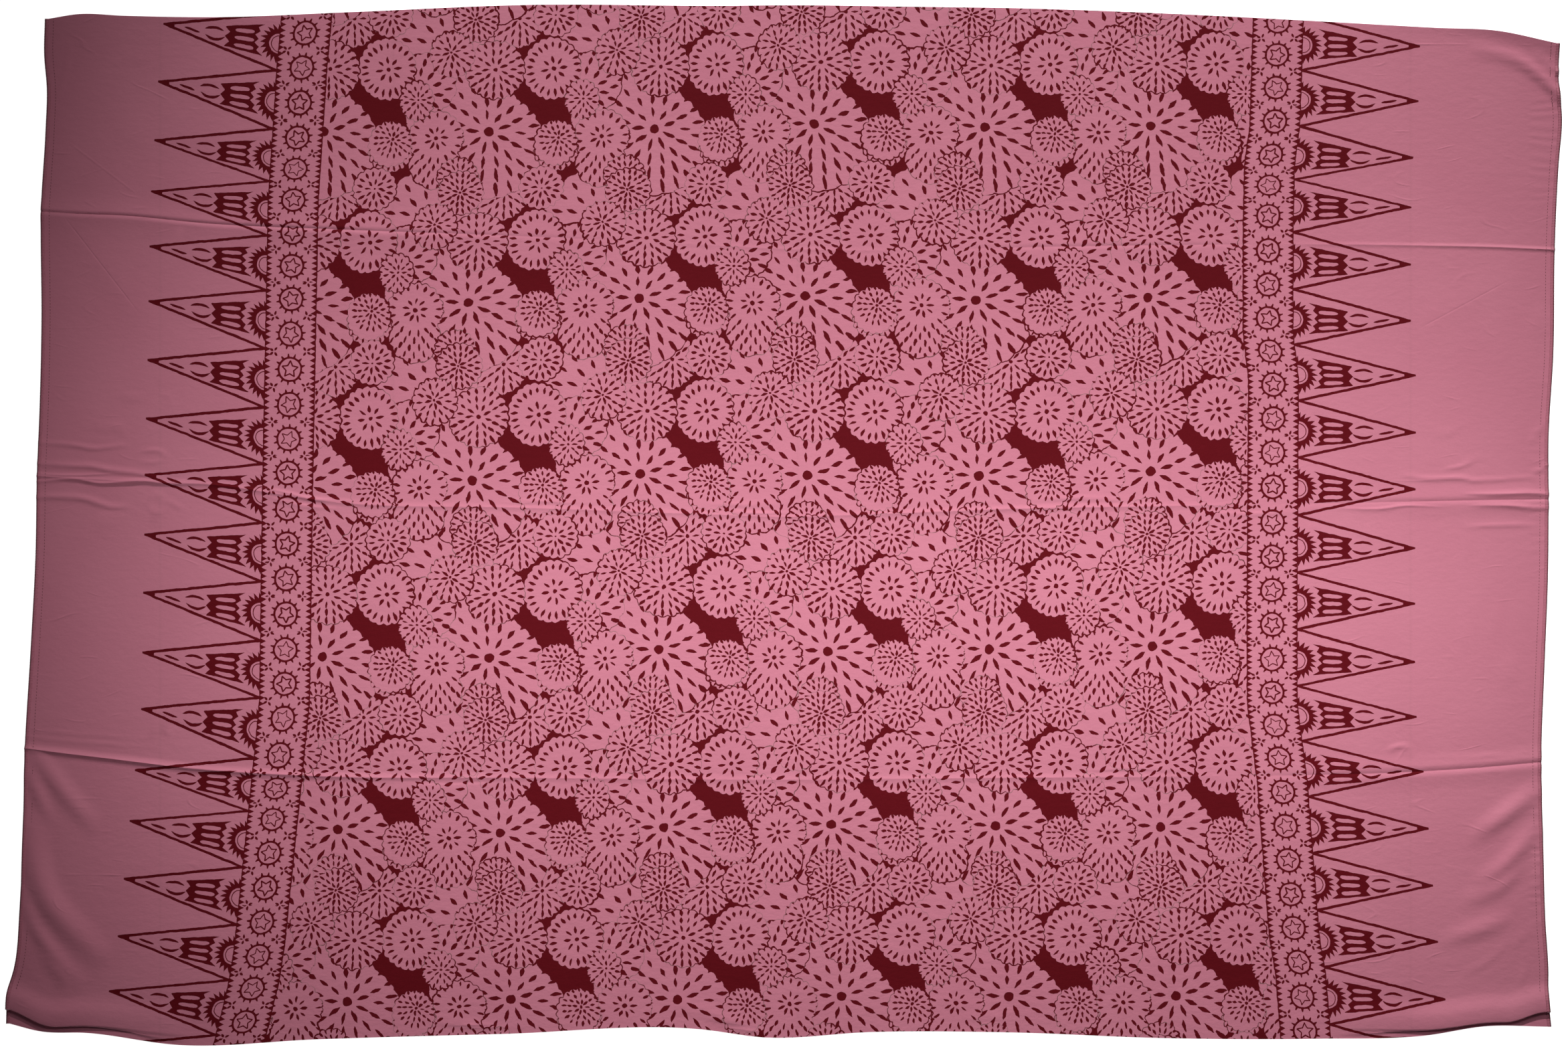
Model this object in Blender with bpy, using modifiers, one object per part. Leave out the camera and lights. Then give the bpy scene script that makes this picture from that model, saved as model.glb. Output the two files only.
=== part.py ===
"""A sarong laid out flat: one printed cloth panel, with a narrow rolled hem along each end.

Units are metres. +X runs along the cloth, +Y across it to its top edge, and +Z is up.
The origin is on the surface that the cloth lies on, under the middle of its outline.
The tables measure across from the left end and down from the highest point of the top edge.
"""

from collections import namedtuple

import bmesh
import bpy
import numpy as np

COLLECTION = "sarong"
CLOTH_PINK = (0.63, 0.22, 0.31, 1.0)
HEM_RED = (0.25, 0.02, 0.05, 1.0)
CLOTH_ROUGHNESS = 0.75
THREAD_ROUGHNESS = 0.6

# Thicknesses and the hem's size
WALL = 0.0012
SEAM_GAP = 0.0003
HEM_WIDTH = 0.0035
HEM_THICKNESS = 0.0016
HEM_CROWN = 0.0002

# Where the five lengthwise lines lie, measured down the flat cloth
LINES_DOWN = np.array([0.0, 0.275, 0.575, 0.870, 1.156])

# One row for each cross section: its place as a share of the length, and how far down
# the top edge, the three ironed fold lines and the bottom edge lie there
Section = namedtuple("Section", "along top fold_1 fold_2 fold_3 bottom")
SECTIONS = [
    Section(0.00, 0.0165, 0.2325, 0.5288, 0.8340, 1.1425),
    Section(0.02, 0.0112, 0.2348, 0.5310, 0.8385, 1.1512),
    Section(0.05, 0.0130, 0.2366, 0.5340, 0.8445, 1.1530),
    Section(0.11, 0.0146, 0.2460, 0.5378, 0.8565, 1.1665),
    Section(0.20, 0.0090, 0.2528, 0.5588, 0.8655, 1.1602),
    Section(0.32, 0.0008, 0.2602, 0.5644, 0.8670, 1.1542),
    Section(0.45, 0.0019, 0.2708, 0.5722, 0.8689, 1.1490),
    Section(0.49, 0.0012, 0.2745, 0.5745, 0.8692, 1.1580),
    Section(0.56, 0.0026, 0.2760, 0.5711, 0.8685, 1.1520),
    Section(0.65, 0.0049, 0.2726, 0.5655, 0.8670, 1.1524),
    Section(0.75, 0.0112, 0.2700, 0.5625, 0.8659, 1.1588),
    Section(0.85, 0.0199, 0.2692, 0.5595, 0.8640, 1.1595),
    Section(0.92, 0.0266, 0.2708, 0.5572, 0.8602, 1.1560),
    Section(0.96, 0.0300, 0.2722, 0.5558, 0.8558, 1.1455),
    Section(1.00, 0.0442, 0.2752, 0.5550, 0.8498, 1.1460),
]

# One row for each place down the ends: how far across the left and right hems' outer sides lie
End = namedtuple("End", "down left right")
ENDS = [
    End(0.000, 0.0443, 1.7415),
    End(0.050, 0.0435, 1.7408),
    End(0.100, 0.0465, 1.7445),
    End(0.160, 0.0450, 1.7408),
    End(0.275, 0.0398, 1.7363),
    End(0.400, 0.0405, 1.7348),
    End(0.500, 0.0383, 1.7295),
    End(0.575, 0.0353, 1.7295),
    End(0.660, 0.0338, 1.7288),
    End(0.760, 0.0285, 1.7250),
    End(0.870, 0.0218, 1.7213),
    End(0.960, 0.0195, 1.7235),
    End(1.040, 0.0158, 1.7258),
    End(1.100, 0.0092, 1.7293),
    End(1.120, 0.0030, 1.7290),
    End(1.156, 0.0008, 1.7325),
]

# One row for each ironed fold line: half its width, and how high it stands along the cloth
Fold = namedtuple("Fold", "down half_width left middle right")
FOLDS = [
    Fold(0.275, 0.008, 0.0026, 0.0012, 0.0022),
    Fold(0.575, 0.008, 0.0034, 0.0016, 0.0036),
    Fold(0.870, 0.008, 0.0034, 0.0014, 0.0028),
]

# One row for each free crease: from where to where it runs, half its width and its height
Crease = namedtuple("Crease", "name x0 y0 x1 y1 half_width height")
CREASES = [
    Crease("left bunch, upper ridge", 0.035, 0.500, 0.270, 0.518, 0.014, 0.0030),
    Crease("left bunch, lower ridge", 0.035, 0.552, 0.200, 0.566, 0.014, 0.0024),
    Crease("right bunch, upper ridge", 1.550, 0.531, 1.735, 0.530, 0.013, 0.0026),
    Crease("right bunch, lower ridge", 1.600, 0.585, 1.735, 0.578, 0.013, 0.0026),
    Crease("top right corner, long ridge", 1.660, 0.050, 1.742, 0.115, 0.016, 0.0045),
    Crease("top right corner, short ridge", 1.700, 0.040, 1.742, 0.076, 0.013, 0.0035),
    Crease("top left corner ridge", 0.060, 0.045, 0.052, 0.140, 0.012, 0.0022),
    Crease("bottom left, upper swell", 0.036, 0.870, 0.110, 0.990, 0.030, 0.0040),
    Crease("bottom left, lower swell", 0.030, 1.010, 0.115, 1.095, 0.026, 0.0040),
    Crease("bottom right, upper swell", 1.640, 0.925, 1.722, 0.870, 0.018, 0.0032),
    Crease("bottom right, middle swell", 1.600, 1.015, 1.715, 0.955, 0.020, 0.0034),
    Crease("bottom right, lower swell", 1.620, 1.075, 1.722, 1.040, 0.018, 0.0030),
]

# The bottom corners are tucked: the cloth rolls back under itself and out again, in three layers
TUCK_ZONE = 0.045
TOP_LAYER = 0.0044
MIDDLE_LAYER = 0.0025
LIP_BEND = (TOP_LAYER - MIDDLE_LAYER) / 2
BACK_BEND = MIDDLE_LAYER / 2
BEND_STEPS = 4
RISE_LENGTH = 0.034

# One row for each tucked corner: the shares of the length where the tuck is whole and where it
# has died out, how far the layers overlap, and how far the bottom layer shows past the lip
Tuck = namedtuple("Tuck", "name whole gone overlap shows_at_corner shows_along shows_until")
TUCKS = [
    Tuck("bottom left", 0.018, 0.120, 0.010, 0.0165, 0.0070, 0.030),
    Tuck("bottom right", 0.955, 0.890, 0.013, 0.0170, 0.0045, 0.972),
]

# How many columns and rows of quads each stretch takes, up to the place that is named
Stretch = namedtuple("Stretch", "until count")
COLUMNS = [
    Stretch(0.020, 4),
    Stretch(0.060, 6),
    Stretch(0.120, 7),
    Stretch(0.200, 4),
    Stretch(0.800, 16),
    Stretch(0.880, 4),
    Stretch(0.940, 7),
    Stretch(0.980, 6),
    Stretch(1.000, 4),
]
ROWS = [
    Stretch(0.110, 8),
    Stretch(0.267, 4),
    Stretch(0.283, 2),
    Stretch(0.500, 5),
    Stretch(0.567, 6),
    Stretch(0.583, 2),
    Stretch(0.618, 4),
    Stretch(0.862, 5),
    Stretch(0.878, 2),
    Stretch(1.090, 10),
    Stretch(LINES_DOWN[-1] - TUCK_ZONE, 1),
]


def column_of(rows, name):
    """One named column of a table, as an array."""
    return np.array([getattr(row, name) for row in rows])


def stations(stretches):
    """The places where the columns or rows of quads meet, spread evenly over each stretch."""
    places = [0.0]
    for stretch in stretches:
        places.extend(np.linspace(places[-1], stretch.until, stretch.count + 1)[1:])
    return np.array(places)


def smooth(at, knots, values):
    """A smooth curve through the values at the knots, read at the places in at."""
    slopes = np.gradient(values, knots)
    i = np.clip(np.searchsorted(knots, at) - 1, 0, len(knots) - 2)
    width = knots[i + 1] - knots[i]
    t = (at - knots[i]) / width
    from_start = (1 + 2 * t) * (1 - t) ** 2 * values[i] + t * (1 - t) ** 2 * width * slopes[i]
    from_end = t * t * (3 - 2 * t) * values[i + 1] - t * t * (1 - t) * width * slopes[i + 1]
    return from_start + from_end


def ease(t):
    """0 to 1 with level ends, for a t that runs from 0 to 1 and is held outside that."""
    t = np.clip(t, 0.0, 1.0)
    return t * t * (3 - 2 * t)


def bump(t):
    """1 at t = 0, falling smoothly to 0 at t = 1 and beyond."""
    return 1 - ease(np.abs(t))


def lines_down(along):
    """How far down the five lengthwise lines lie, one row of five for each place along."""
    knots = column_of(SECTIONS, "along")
    names = ("top", "fold_1", "fold_2", "fold_3", "bottom")
    return np.stack([smooth(along, knots, column_of(SECTIONS, n)) for n in names], axis=1)


def down_places(along, down):
    """How far down each row of the flat cloth lies at each column."""
    return np.stack([np.interp(down, LINES_DOWN, line) for line in lines_down(along)], axis=1)


def across_places(along, y):
    """How far across each point lies, from where the two ends are at that point's height."""
    lines = lines_down(along)
    level = np.stack([np.interp(y[:, i], line, LINES_DOWN) for i, line in enumerate(lines)], axis=1)
    inset = HEM_WIDTH + SEAM_GAP
    knots = column_of(ENDS, "down")
    left = smooth(level, knots, column_of(ENDS, "left")) + inset
    right = smooth(level, knots, column_of(ENDS, "right")) - inset
    return left + along[None, :] * (right - left)


def fold_height(along, down):
    """How high the ironed fold lines stand over the grid."""
    height = np.zeros((len(down), len(along)))
    for fold in FOLDS:
        crest = np.interp(along, [0.0, 0.25, 0.75, 1.0], [fold.left, fold.middle, fold.middle, fold.right])
        height += bump((down[:, None] - fold.down) / fold.half_width) * crest[None, :]
    return height


def crease_height(x, y):
    """How high the free creases stand, each a soft ridge that dies out at its ends."""
    height = np.zeros_like(x)
    for crease in CREASES:
        run = np.array([crease.x1 - crease.x0, crease.y1 - crease.y0])
        length = np.hypot(*run)
        t = ((x - crease.x0) * run[0] + (y - crease.y0) * run[1]) / length**2
        near = np.clip(t, 0.0, 1.0)
        away = np.hypot(x - crease.x0 - near * run[0], y - crease.y0 - near * run[1])
        ridge = bump(away / crease.half_width) * (0.35 + 0.65 * np.sin(np.pi * near))
        height = np.maximum(height, crease.height * ridge)
    return height


def half_turn(lip, radius, middle, from_above):
    """Points of a half turn whose outermost point is at lip, as (down, height) pairs."""
    side = 1 if from_above else -1
    turn = np.linspace(np.pi / 2, -np.pi / 2, BEND_STEPS + 1)
    return [(lip - side * radius * (1 - np.cos(a)), middle + radius * np.sin(a)) for a in turn]


def tucked_section(overlap, shows):
    """The section of a tucked edge, as (down from the lip, height): over, back under and out."""
    rise = [(-RISE_LENGTH, 0.0), (-0.7 * RISE_LENGTH, 0.45 * TOP_LAYER), (-0.4 * RISE_LENGTH, 0.93 * TOP_LAYER)]
    lip = half_turn(0.0, LIP_BEND, (TOP_LAYER + MIDDLE_LAYER) / 2, True)
    back = half_turn(-overlap, BACK_BEND, BACK_BEND, False)
    return np.array(rise + lip + back + [(shows / 2, 0.0), (shows, 0.0)])


TUCK_ROWS = len(tucked_section(0.0, 0.0))


def tuck_amounts(place):
    """The tuck at one place along: how whole it is, its overlap and how far its strip shows."""
    for tuck in TUCKS:
        whole = (place - tuck.gone) / (tuck.whole - tuck.gone)
        if whole > 0:
            corner = round(tuck.whole)
            near = bump((place - corner) / (tuck.shows_until - corner))
            shows = tuck.shows_along + near * (tuck.shows_at_corner - tuck.shows_along)
            return min(whole, 1.0), tuck.overlap, shows
    return 0.0, 0.0, 0.0


def panel_points():
    """The middle surface of the panel, as an array of points for each row and column."""
    along = stations(COLUMNS)
    down = stations(ROWS)
    tuck_down = np.linspace(LINES_DOWN[-1] - TUCK_ZONE, LINES_DOWN[-1], TUCK_ROWS)
    down = np.concatenate([down[:-1], tuck_down])
    y = down_places(along, down)
    height = np.maximum(fold_height(along, down), crease_height(across_places(along, y), y))
    first = len(down) - TUCK_ROWS
    for column, place in enumerate(along):
        whole, overlap, shows = tuck_amounts(place)
        if not whole:
            continue
        section = tucked_section(overlap, shows)
        lifted = ease(whole / 0.4)
        folded = ease((whole - 0.15) / 0.85)
        lip = y[-1, column] - shows
        y[first:, column] += folded * (lip + section[:, 0] - y[first:, column])
        height[first:, column] = lifted * section[:, 1]
    return np.stack([across_places(along, y), -y, height + WALL / 2], axis=2)


def hem_points(edge, outward):
    """The middle surface of a hem: the panel's edge points moved out, with a low crown between."""
    steps = np.diff(edge[:, 1:], axis=0)
    steps /= np.linalg.norm(steps, axis=1)[:, None]
    run = np.concatenate([steps[:1], steps[1:] + steps[:-1], steps[-1:]])
    run /= np.linalg.norm(run, axis=1)[:, None]
    out = np.array([outward, 0.0, 0.0])
    up = np.stack([np.zeros(len(edge)), run[:, 1], -run[:, 0]], axis=1)
    profile = [(SEAM_GAP, 0.0), (SEAM_GAP + HEM_WIDTH / 2, HEM_CROWN), (SEAM_GAP + HEM_WIDTH, 0.0)]
    columns = [edge + out * away + up * rise for away, rise in profile]
    return np.stack(columns[::outward], axis=1)


def material(name, colour, roughness):
    """A plain cloth or thread material."""
    made = bpy.data.materials.new(name)
    made.use_nodes = True
    shader = made.node_tree.nodes["Principled BSDF"]
    shader.inputs["Base Color"].default_value = colour
    shader.inputs["Roughness"].default_value = roughness
    shader.inputs["Metallic"].default_value = 0.0
    made.diffuse_color = colour
    return made


def cloth_wall(name, points, thickness, finish, collection):
    """A grid shaped to the points, given its thickness by Solidify with its underside kept level."""
    rows, columns = points.shape[:2]
    shape = bmesh.new()
    bmesh.ops.create_grid(shape, x_segments=columns - 1, y_segments=rows - 1, size=1.0)
    for vertex in shape.verts:
        column = round((vertex.co.x + 1) / 2 * (columns - 1))
        row = round((1 - vertex.co.y) / 2 * (rows - 1))
        vertex.co = points[row, column]
    mesh = bpy.data.meshes.new(name)
    shape.to_mesh(mesh)
    shape.free()
    mesh.shade_smooth()
    mesh.materials.append(finish)
    wall = bpy.data.objects.new(name, mesh)
    collection.objects.link(wall)
    solidify = wall.modifiers.new("thickness", "SOLIDIFY")
    solidify.thickness = thickness
    solidify.offset = 1 - WALL / thickness
    return wall


def build():
    """Clears the scene and makes the panel and its two hems, centred over the origin."""
    for old in list(bpy.data.objects):
        bpy.data.objects.remove(old, do_unlink=True)
    collection = bpy.data.collections.new(COLLECTION)
    bpy.context.scene.collection.children.link(collection)

    panel = panel_points()
    left = hem_points(panel[:, 0], -1)
    right = hem_points(panel[:, -1], 1)
    spots = np.concatenate([part.reshape(-1, 3) for part in (panel, left, right)])
    middle = (spots.min(axis=0) + spots.max(axis=0)) / 2
    middle[2] = 0.0

    cloth = material("printed cloth", CLOTH_PINK, CLOTH_ROUGHNESS)
    cloth_wall("cloth_panel", panel - middle, WALL, cloth, collection)
    for name, points in (("left_hem", left), ("right_hem", right)):
        thread = material(name.replace("_", " ") + " thread", HEM_RED, THREAD_ROUGHNESS)
        cloth_wall(name, points - middle, HEM_THICKNESS, thread, collection)


build()
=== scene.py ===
import math
from collections import namedtuple

import bpy
import numpy as np
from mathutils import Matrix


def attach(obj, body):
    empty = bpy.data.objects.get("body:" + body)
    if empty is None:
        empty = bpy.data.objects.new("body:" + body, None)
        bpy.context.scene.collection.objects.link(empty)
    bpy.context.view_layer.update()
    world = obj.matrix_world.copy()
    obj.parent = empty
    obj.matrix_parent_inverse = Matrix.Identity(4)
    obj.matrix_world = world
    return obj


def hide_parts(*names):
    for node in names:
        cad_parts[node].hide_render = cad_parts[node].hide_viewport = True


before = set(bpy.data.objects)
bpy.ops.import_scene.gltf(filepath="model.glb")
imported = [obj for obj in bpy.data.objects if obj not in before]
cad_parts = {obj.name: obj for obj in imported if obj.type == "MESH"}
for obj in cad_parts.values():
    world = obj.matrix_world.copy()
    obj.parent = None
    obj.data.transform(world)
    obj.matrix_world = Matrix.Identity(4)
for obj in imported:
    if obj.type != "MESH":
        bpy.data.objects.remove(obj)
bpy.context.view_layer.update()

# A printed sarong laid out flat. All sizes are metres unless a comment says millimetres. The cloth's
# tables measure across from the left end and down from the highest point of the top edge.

TURN = 2 * math.pi
MM = 0.001

# The photograph's frame, as it lies on the cloth, and the camera over it
VIEW_WIDTH = 1.757
VIEW_MIDDLE = (0.0, 0.0006)
CAMERA_HEIGHT = 3.0
SENSOR = 36.0

# The CAD model's own measures, which the cloth and its hems are laid out on
SEAM_GAP = 0.0003
HEM_WIDTH = 0.0035
LINES_DOWN = np.array([0.0, 0.275, 0.575, 0.870, 1.156])

# The tables' place for the frame's origin
MIDDLE = (0.87260, -0.58382, 0.0)

# The cloth's own thickness, its hems' and threads' sizes, and how many rows of a tuck are stitched too
CLOTH = 0.0005
HEM_DEEP = 0.0013
HEM_OVER = 0.0009
HEM_PITCH = 0.0018
HEM_SIDES = 10
HEM_STEPS = 4
HEM_RIB = 0.00016
RIB_SLANT = 0.5
STITCH_IN = 0.0062
STITCH_PITCH = 0.0034
STITCH_LONG = 0.0021
STITCH_WIDE = 0.00035
STITCH_SUNK = 0.6
STITCHED_ROWS = 3

# How far down the top edge, the three fold lines and the bottom edge lie, at shares of the way along
Section = namedtuple("Section", "along top fold_1 fold_2 fold_3 bottom")
SECTIONS = [
    Section(0.00, 0.0165, 0.2325, 0.5288, 0.8340, 1.1425),
    Section(0.02, 0.0112, 0.2348, 0.5310, 0.8385, 1.1512),
    Section(0.05, 0.0130, 0.2366, 0.5340, 0.8445, 1.1530),
    Section(0.11, 0.0146, 0.2460, 0.5378, 0.8565, 1.1665),
    Section(0.20, 0.0090, 0.2528, 0.5588, 0.8655, 1.1602),
    Section(0.32, 0.0008, 0.2602, 0.5644, 0.8670, 1.1542),
    Section(0.45, 0.0019, 0.2708, 0.5722, 0.8689, 1.1490),
    Section(0.49, 0.0012, 0.2745, 0.5745, 0.8692, 1.1580),
    Section(0.56, 0.0026, 0.2760, 0.5711, 0.8685, 1.1520),
    Section(0.65, 0.0049, 0.2726, 0.5655, 0.8670, 1.1524),
    Section(0.75, 0.0112, 0.2700, 0.5625, 0.8659, 1.1588),
    Section(0.85, 0.0199, 0.2692, 0.5595, 0.8640, 1.1595),
    Section(0.92, 0.0266, 0.2708, 0.5572, 0.8602, 1.1560),
    Section(0.96, 0.0300, 0.2722, 0.5558, 0.8558, 1.1455),
    Section(1.00, 0.0442, 0.2752, 0.5550, 0.8498, 1.1460),
]

# How far across the two ends lie, at places down the flat cloth
End = namedtuple("End", "down left right")
ENDS = [
    End(0.000, 0.0443, 1.7415),
    End(0.050, 0.0435, 1.7408),
    End(0.100, 0.0465, 1.7445),
    End(0.160, 0.0450, 1.7408),
    End(0.275, 0.0398, 1.7363),
    End(0.400, 0.0405, 1.7348),
    End(0.500, 0.0383, 1.7295),
    End(0.575, 0.0353, 1.7295),
    End(0.660, 0.0338, 1.7288),
    End(0.760, 0.0285, 1.7250),
    End(0.870, 0.0218, 1.7213),
    End(0.960, 0.0195, 1.7235),
    End(1.040, 0.0158, 1.7258),
    End(1.100, 0.0092, 1.7293),
    End(1.120, 0.0030, 1.7290),
    End(1.156, 0.0008, 1.7325),
]

# Ironed fold lines, in millimetres but for where they lie: half width, then the crest's height at the
# places along the cloth. A height below 0 is a valley, which has a low swell on both sides.
Fold = namedtuple("Fold", "down half_width heights")
FOLDS = [
    Fold(0.275, 5.0, [-1.5, -1.5, -1.4, -0.8, 0.3, -0.5, 0.6, 1.3, 1.6]),
    Fold(0.575, 6.0, [1.6, 1.6, 1.4, 0.9, 0.7, 0.7, -0.6, -1.3, -1.5]),
    Fold(0.870, 7.0, [2.6, 2.6, 2.2, 1.2, 0.5, 0.5, -0.9, -1.5, -1.7]),
]
FOLD_PLACES = [0.0, 0.06, 0.14, 0.25, 0.50, 0.75, 0.87, 0.95, 1.0]
SWELL = 22.0

# Creases, in millimetres: half width, height as for the folds, and the points that each runs through
Crease = namedtuple("Crease", "half_width height points")
CREASES = [
    Crease(3.0, 1.0, [(72, 48), (69, 71), (64, 89), (58, 112)]),
    Crease(3.0, 0.6, [(121, 69), (129, 64), (158, 62)]),
    Crease(3.0, -0.7, [(65, 238), (88, 266), (112, 297), (148, 342), (160, 367)]),
    Crease(3.0, -0.6, [(133, 133), (143, 142), (154, 153)]),
    Crease(3.8, 0.6, [(88, 172), (121, 188), (149, 208)]),
    Crease(3.8, 1.0, [(116, 435), (133, 439), (146, 441), (164, 439)]),
    Crease(4.5, 1.2, [(92, 471), (129, 475), (136, 483)]),
    Crease(5.2, 1.7, [(34, 491), (76, 494), (100, 498), (134, 494)]),
    Crease(6.8, 2.3, [(31, 514), (68, 517), (96, 518), (116, 522), (149, 526), (173, 532)]),
    Crease(3.8, 1.3, [(31, 526), (61, 528), (88, 528), (122, 526)]),
    Crease(5.2, 2.2, [(31, 536), (76, 532), (108, 537), (154, 534), (177, 537), (218, 538)]),
    Crease(6.8, 2.3, [(29, 553), (55, 552), (88, 554), (116, 563), (136, 563)]),
    Crease(4.5, 0.9, [(96, 572), (113, 571), (132, 573)]),
    Crease(3.8, 1.3, [(160, 562), (170, 548), (178, 560)]),
    Crease(3.8, 1.2, [(160, 562), (170, 571), (178, 560)]),
    Crease(4.5, 1.4, [(152, 502), (170, 500), (181, 508)]),
    Crease(3.8, 0.9, [(151, 512), (164, 514), (177, 511)]),
    Crease(3.8, 1.1, [(180, 554), (190, 561), (200, 567)]),
    Crease(3.0, 1.2, [(214, 577), (229, 585), (245, 594)]),
    Crease(3.8, 1.1, [(187, 242), (195, 251), (206, 256), (218, 250)]),
    Crease(3.0, 0.55, [(22, 813), (83, 818), (158, 823)]),
    Crease(3.0, 0.65, [(22, 821), (83, 827), (162, 833)]),
    Crease(4.5, 1.5, [(164, 824), (167, 815), (176, 812), (186, 821)]),
    Crease(15.0, 3.4, [(32, 839), (53, 865), (74, 892), (98, 919)]),
    Crease(10.5, 2.2, [(26, 857), (38, 887), (50, 914)]),
    Crease(22.5, 5.0, [(31, 922), (35, 964), (46, 1000), (67, 1028), (103, 1063)]),
    Crease(12.0, 2.6, [(23, 992), (32, 1030), (56, 1067), (83, 1097)]),
    Crease(10.5, 2.0, [(41, 1060), (59, 1084), (77, 1103)]),
    Crease(3.0, 0.9, [(38, 952), (50, 952), (62, 950)]),
    Crease(3.0, 0.9, [(28, 726), (38, 721), (47, 724), (62, 715)]),
    Crease(6.0, 1.8, [(16, 1110), (38, 1114), (55, 1117), (76, 1126), (109, 1134)]),
    Crease(5.2, 1.6, [(128, 1126), (147, 1127), (161, 1136), (170, 1147)]),
    Crease(4.5, 1.4, [(140, 1139), (155, 1142), (173, 1154)]),
    Crease(9.0, 3.9, [(1648, 50), (1690, 61), (1715, 77), (1741, 104), (1775, 152)]),
    Crease(6.0, 2.0, [(1700, 48), (1722, 62), (1741, 80), (1760, 100)]),
    Crease(30.0, 4.6, [(1560, 2), (1620, 6), (1680, 16), (1741, 36), (1790, 60)]),
    Crease(3.8, 0.9, [(1584, 275), (1580, 284), (1576, 292), (1567, 290)]),
    Crease(3.0, -0.6, [(1586, 361), (1631, 332), (1688, 308)]),
    Crease(3.0, 0.9, [(1706, 355), (1718, 357), (1735, 356)]),
    Crease(3.8, 1.1, [(1672, 453), (1690, 449), (1706, 447), (1730, 453)]),
    Crease(3.8, 1.5, [(1708, 491), (1717, 480), (1726, 466)]),
    Crease(3.8, 1.0, [(1594, 473), (1613, 482), (1636, 467)]),
    Crease(4.5, 1.2, [(1613, 521), (1631, 518), (1652, 508)]),
    Crease(3.8, 0.8, [(1591, 514), (1598, 512), (1607, 512)]),
    Crease(3.8, 1.2, [(1712, 528), (1720, 521), (1729, 514)]),
    Crease(6.0, 1.8, [(1568, 528), (1594, 532), (1631, 531), (1647, 534), (1712, 530)]),
    Crease(7.5, 2.4, [(1636, 549), (1673, 549), (1711, 548), (1732, 550)]),
    Crease(7.5, 2.4, [(1643, 562), (1681, 562), (1711, 564), (1732, 564)]),
    Crease(5.2, 1.4, [(1496, 565), (1538, 566), (1570, 562), (1615, 564)]),
    Crease(5.2, 1.2, [(1636, 586), (1673, 584), (1718, 584)]),
    Crease(3.8, 1.0, [(1618, 599), (1634, 604), (1650, 611)]),
    Crease(3.8, 1.3, [(1615, 716), (1646, 702), (1676, 688), (1700, 676), (1720, 666)]),
    Crease(4.5, 1.4, [(1693, 765), (1706, 762), (1723, 763)]),
    Crease(6.8, 1.2, [(1672, 748), (1687, 747), (1700, 751)]),
    Crease(4.5, 1.6, [(1551, 839), (1556, 833), (1568, 832), (1576, 844)]),
    Crease(3.0, 0.8, [(1576, 846), (1643, 843), (1717, 840)]),
    Crease(15.0, 4.0, [(1648, 931), (1670, 916), (1693, 899), (1718, 880)]),
    Crease(13.5, 3.4, [(1652, 983), (1676, 968), (1696, 947), (1712, 928)]),
    Crease(11.2, 2.6, [(1637, 1004), (1663, 995), (1682, 984), (1699, 964)]),
    Crease(12.8, 2.6, [(1616, 1048), (1642, 1040), (1663, 1033), (1682, 1025)]),
    Crease(3.8, 1.3, [(1687, 1061), (1697, 1048), (1709, 1040), (1727, 1024)]),
    Crease(3.8, 1.0, [(1689, 1000), (1693, 1009), (1695, 1016)]),
    Crease(4.5, 1.0, [(1631, 1090), (1664, 1070), (1690, 1046)]),
    Crease(4.5, 1.3, [(1715, 952), (1718, 971), (1715, 992)]),
    Crease(5.2, 1.7, [(1558, 1135), (1568, 1129), (1579, 1124), (1598, 1128), (1618, 1129)]),
    Crease(4.5, 1.4, [(1621, 1122), (1640, 1124), (1655, 1130)]),
    Crease(6.8, 1.5, [(1603, 1106), (1634, 1101), (1669, 1100)]),
    Crease(4.5, 1.2, [(1697, 1103), (1700, 1091), (1702, 1079)]),
    Crease(6.8, 1.9, [(761, 1120), (793, 1132), (821, 1145), (851, 1159)]),
    Crease(4.5, 1.2, [(1040, 1119), (1066, 1120), (1096, 1124)]),
    Crease(4.5, 1.2, [(1081, 1133), (1103, 1136), (1127, 1135)]),
    Crease(5.2, 1.4, [(479, 1138), (515, 1143), (551, 1149)]),
    Crease(5.2, 1.3, [(1421, 1138), (1451, 1139), (1484, 1137)]),
    Crease(4.5, 1.4, [(284, 541), (316, 548), (346, 555), (383, 556)]),
    Crease(4.5, 1.2, [(293, 551), (331, 562), (368, 565)]),
    Crease(4.5, 1.2, [(799, 559), (826, 562), (856, 558)]),
    Crease(4.5, 1.1, [(811, 568), (841, 571), (878, 569)]),
    Crease(4.5, 1.0, [(563, 562), (593, 557), (631, 559)]),
    Crease(4.5, 1.2, [(1163, 556), (1201, 553), (1246, 557)]),
    Crease(4.5, 1.0, [(1343, 569), (1388, 572), (1441, 569)]),
    Crease(4.5, 1.0, [(443, 872), (488, 877), (533, 874)]),
    Crease(4.5, 0.9, [(1223, 859), (1268, 856), (1313, 860)]),
]
# From which half width a crease is soft, in millimetres, and its curve's steps from point to point
SOFT_CREASE = 9.0
CREASE_STEPS = 4
# A crease's height at its ends, and a fold's where a crease crosses it, each as a share of the whole
CREASE_END = 0.3
FOLD_KEPT = 0.6

# The tucks: how far up the cloth they reach, the heights of their layers, their bends, and the rise to them
TUCK_ZONE = 0.045
BEND_ZONE = 0.012
TOP_LAYER = 0.0044
MIDDLE_LAYER = 0.0025
LIP_BEND = (TOP_LAYER - MIDDLE_LAYER) / 2
BACK_BEND = MIDDLE_LAYER / 2
BEND_STEPS = 8
RISE_LENGTH = 0.034
RISE_ROWS = 6
RISE_PLACES = (1.0, 0.85, 0.7, 0.55, 0.4, 0.2)
RISE_OVER = 0.65
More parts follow.
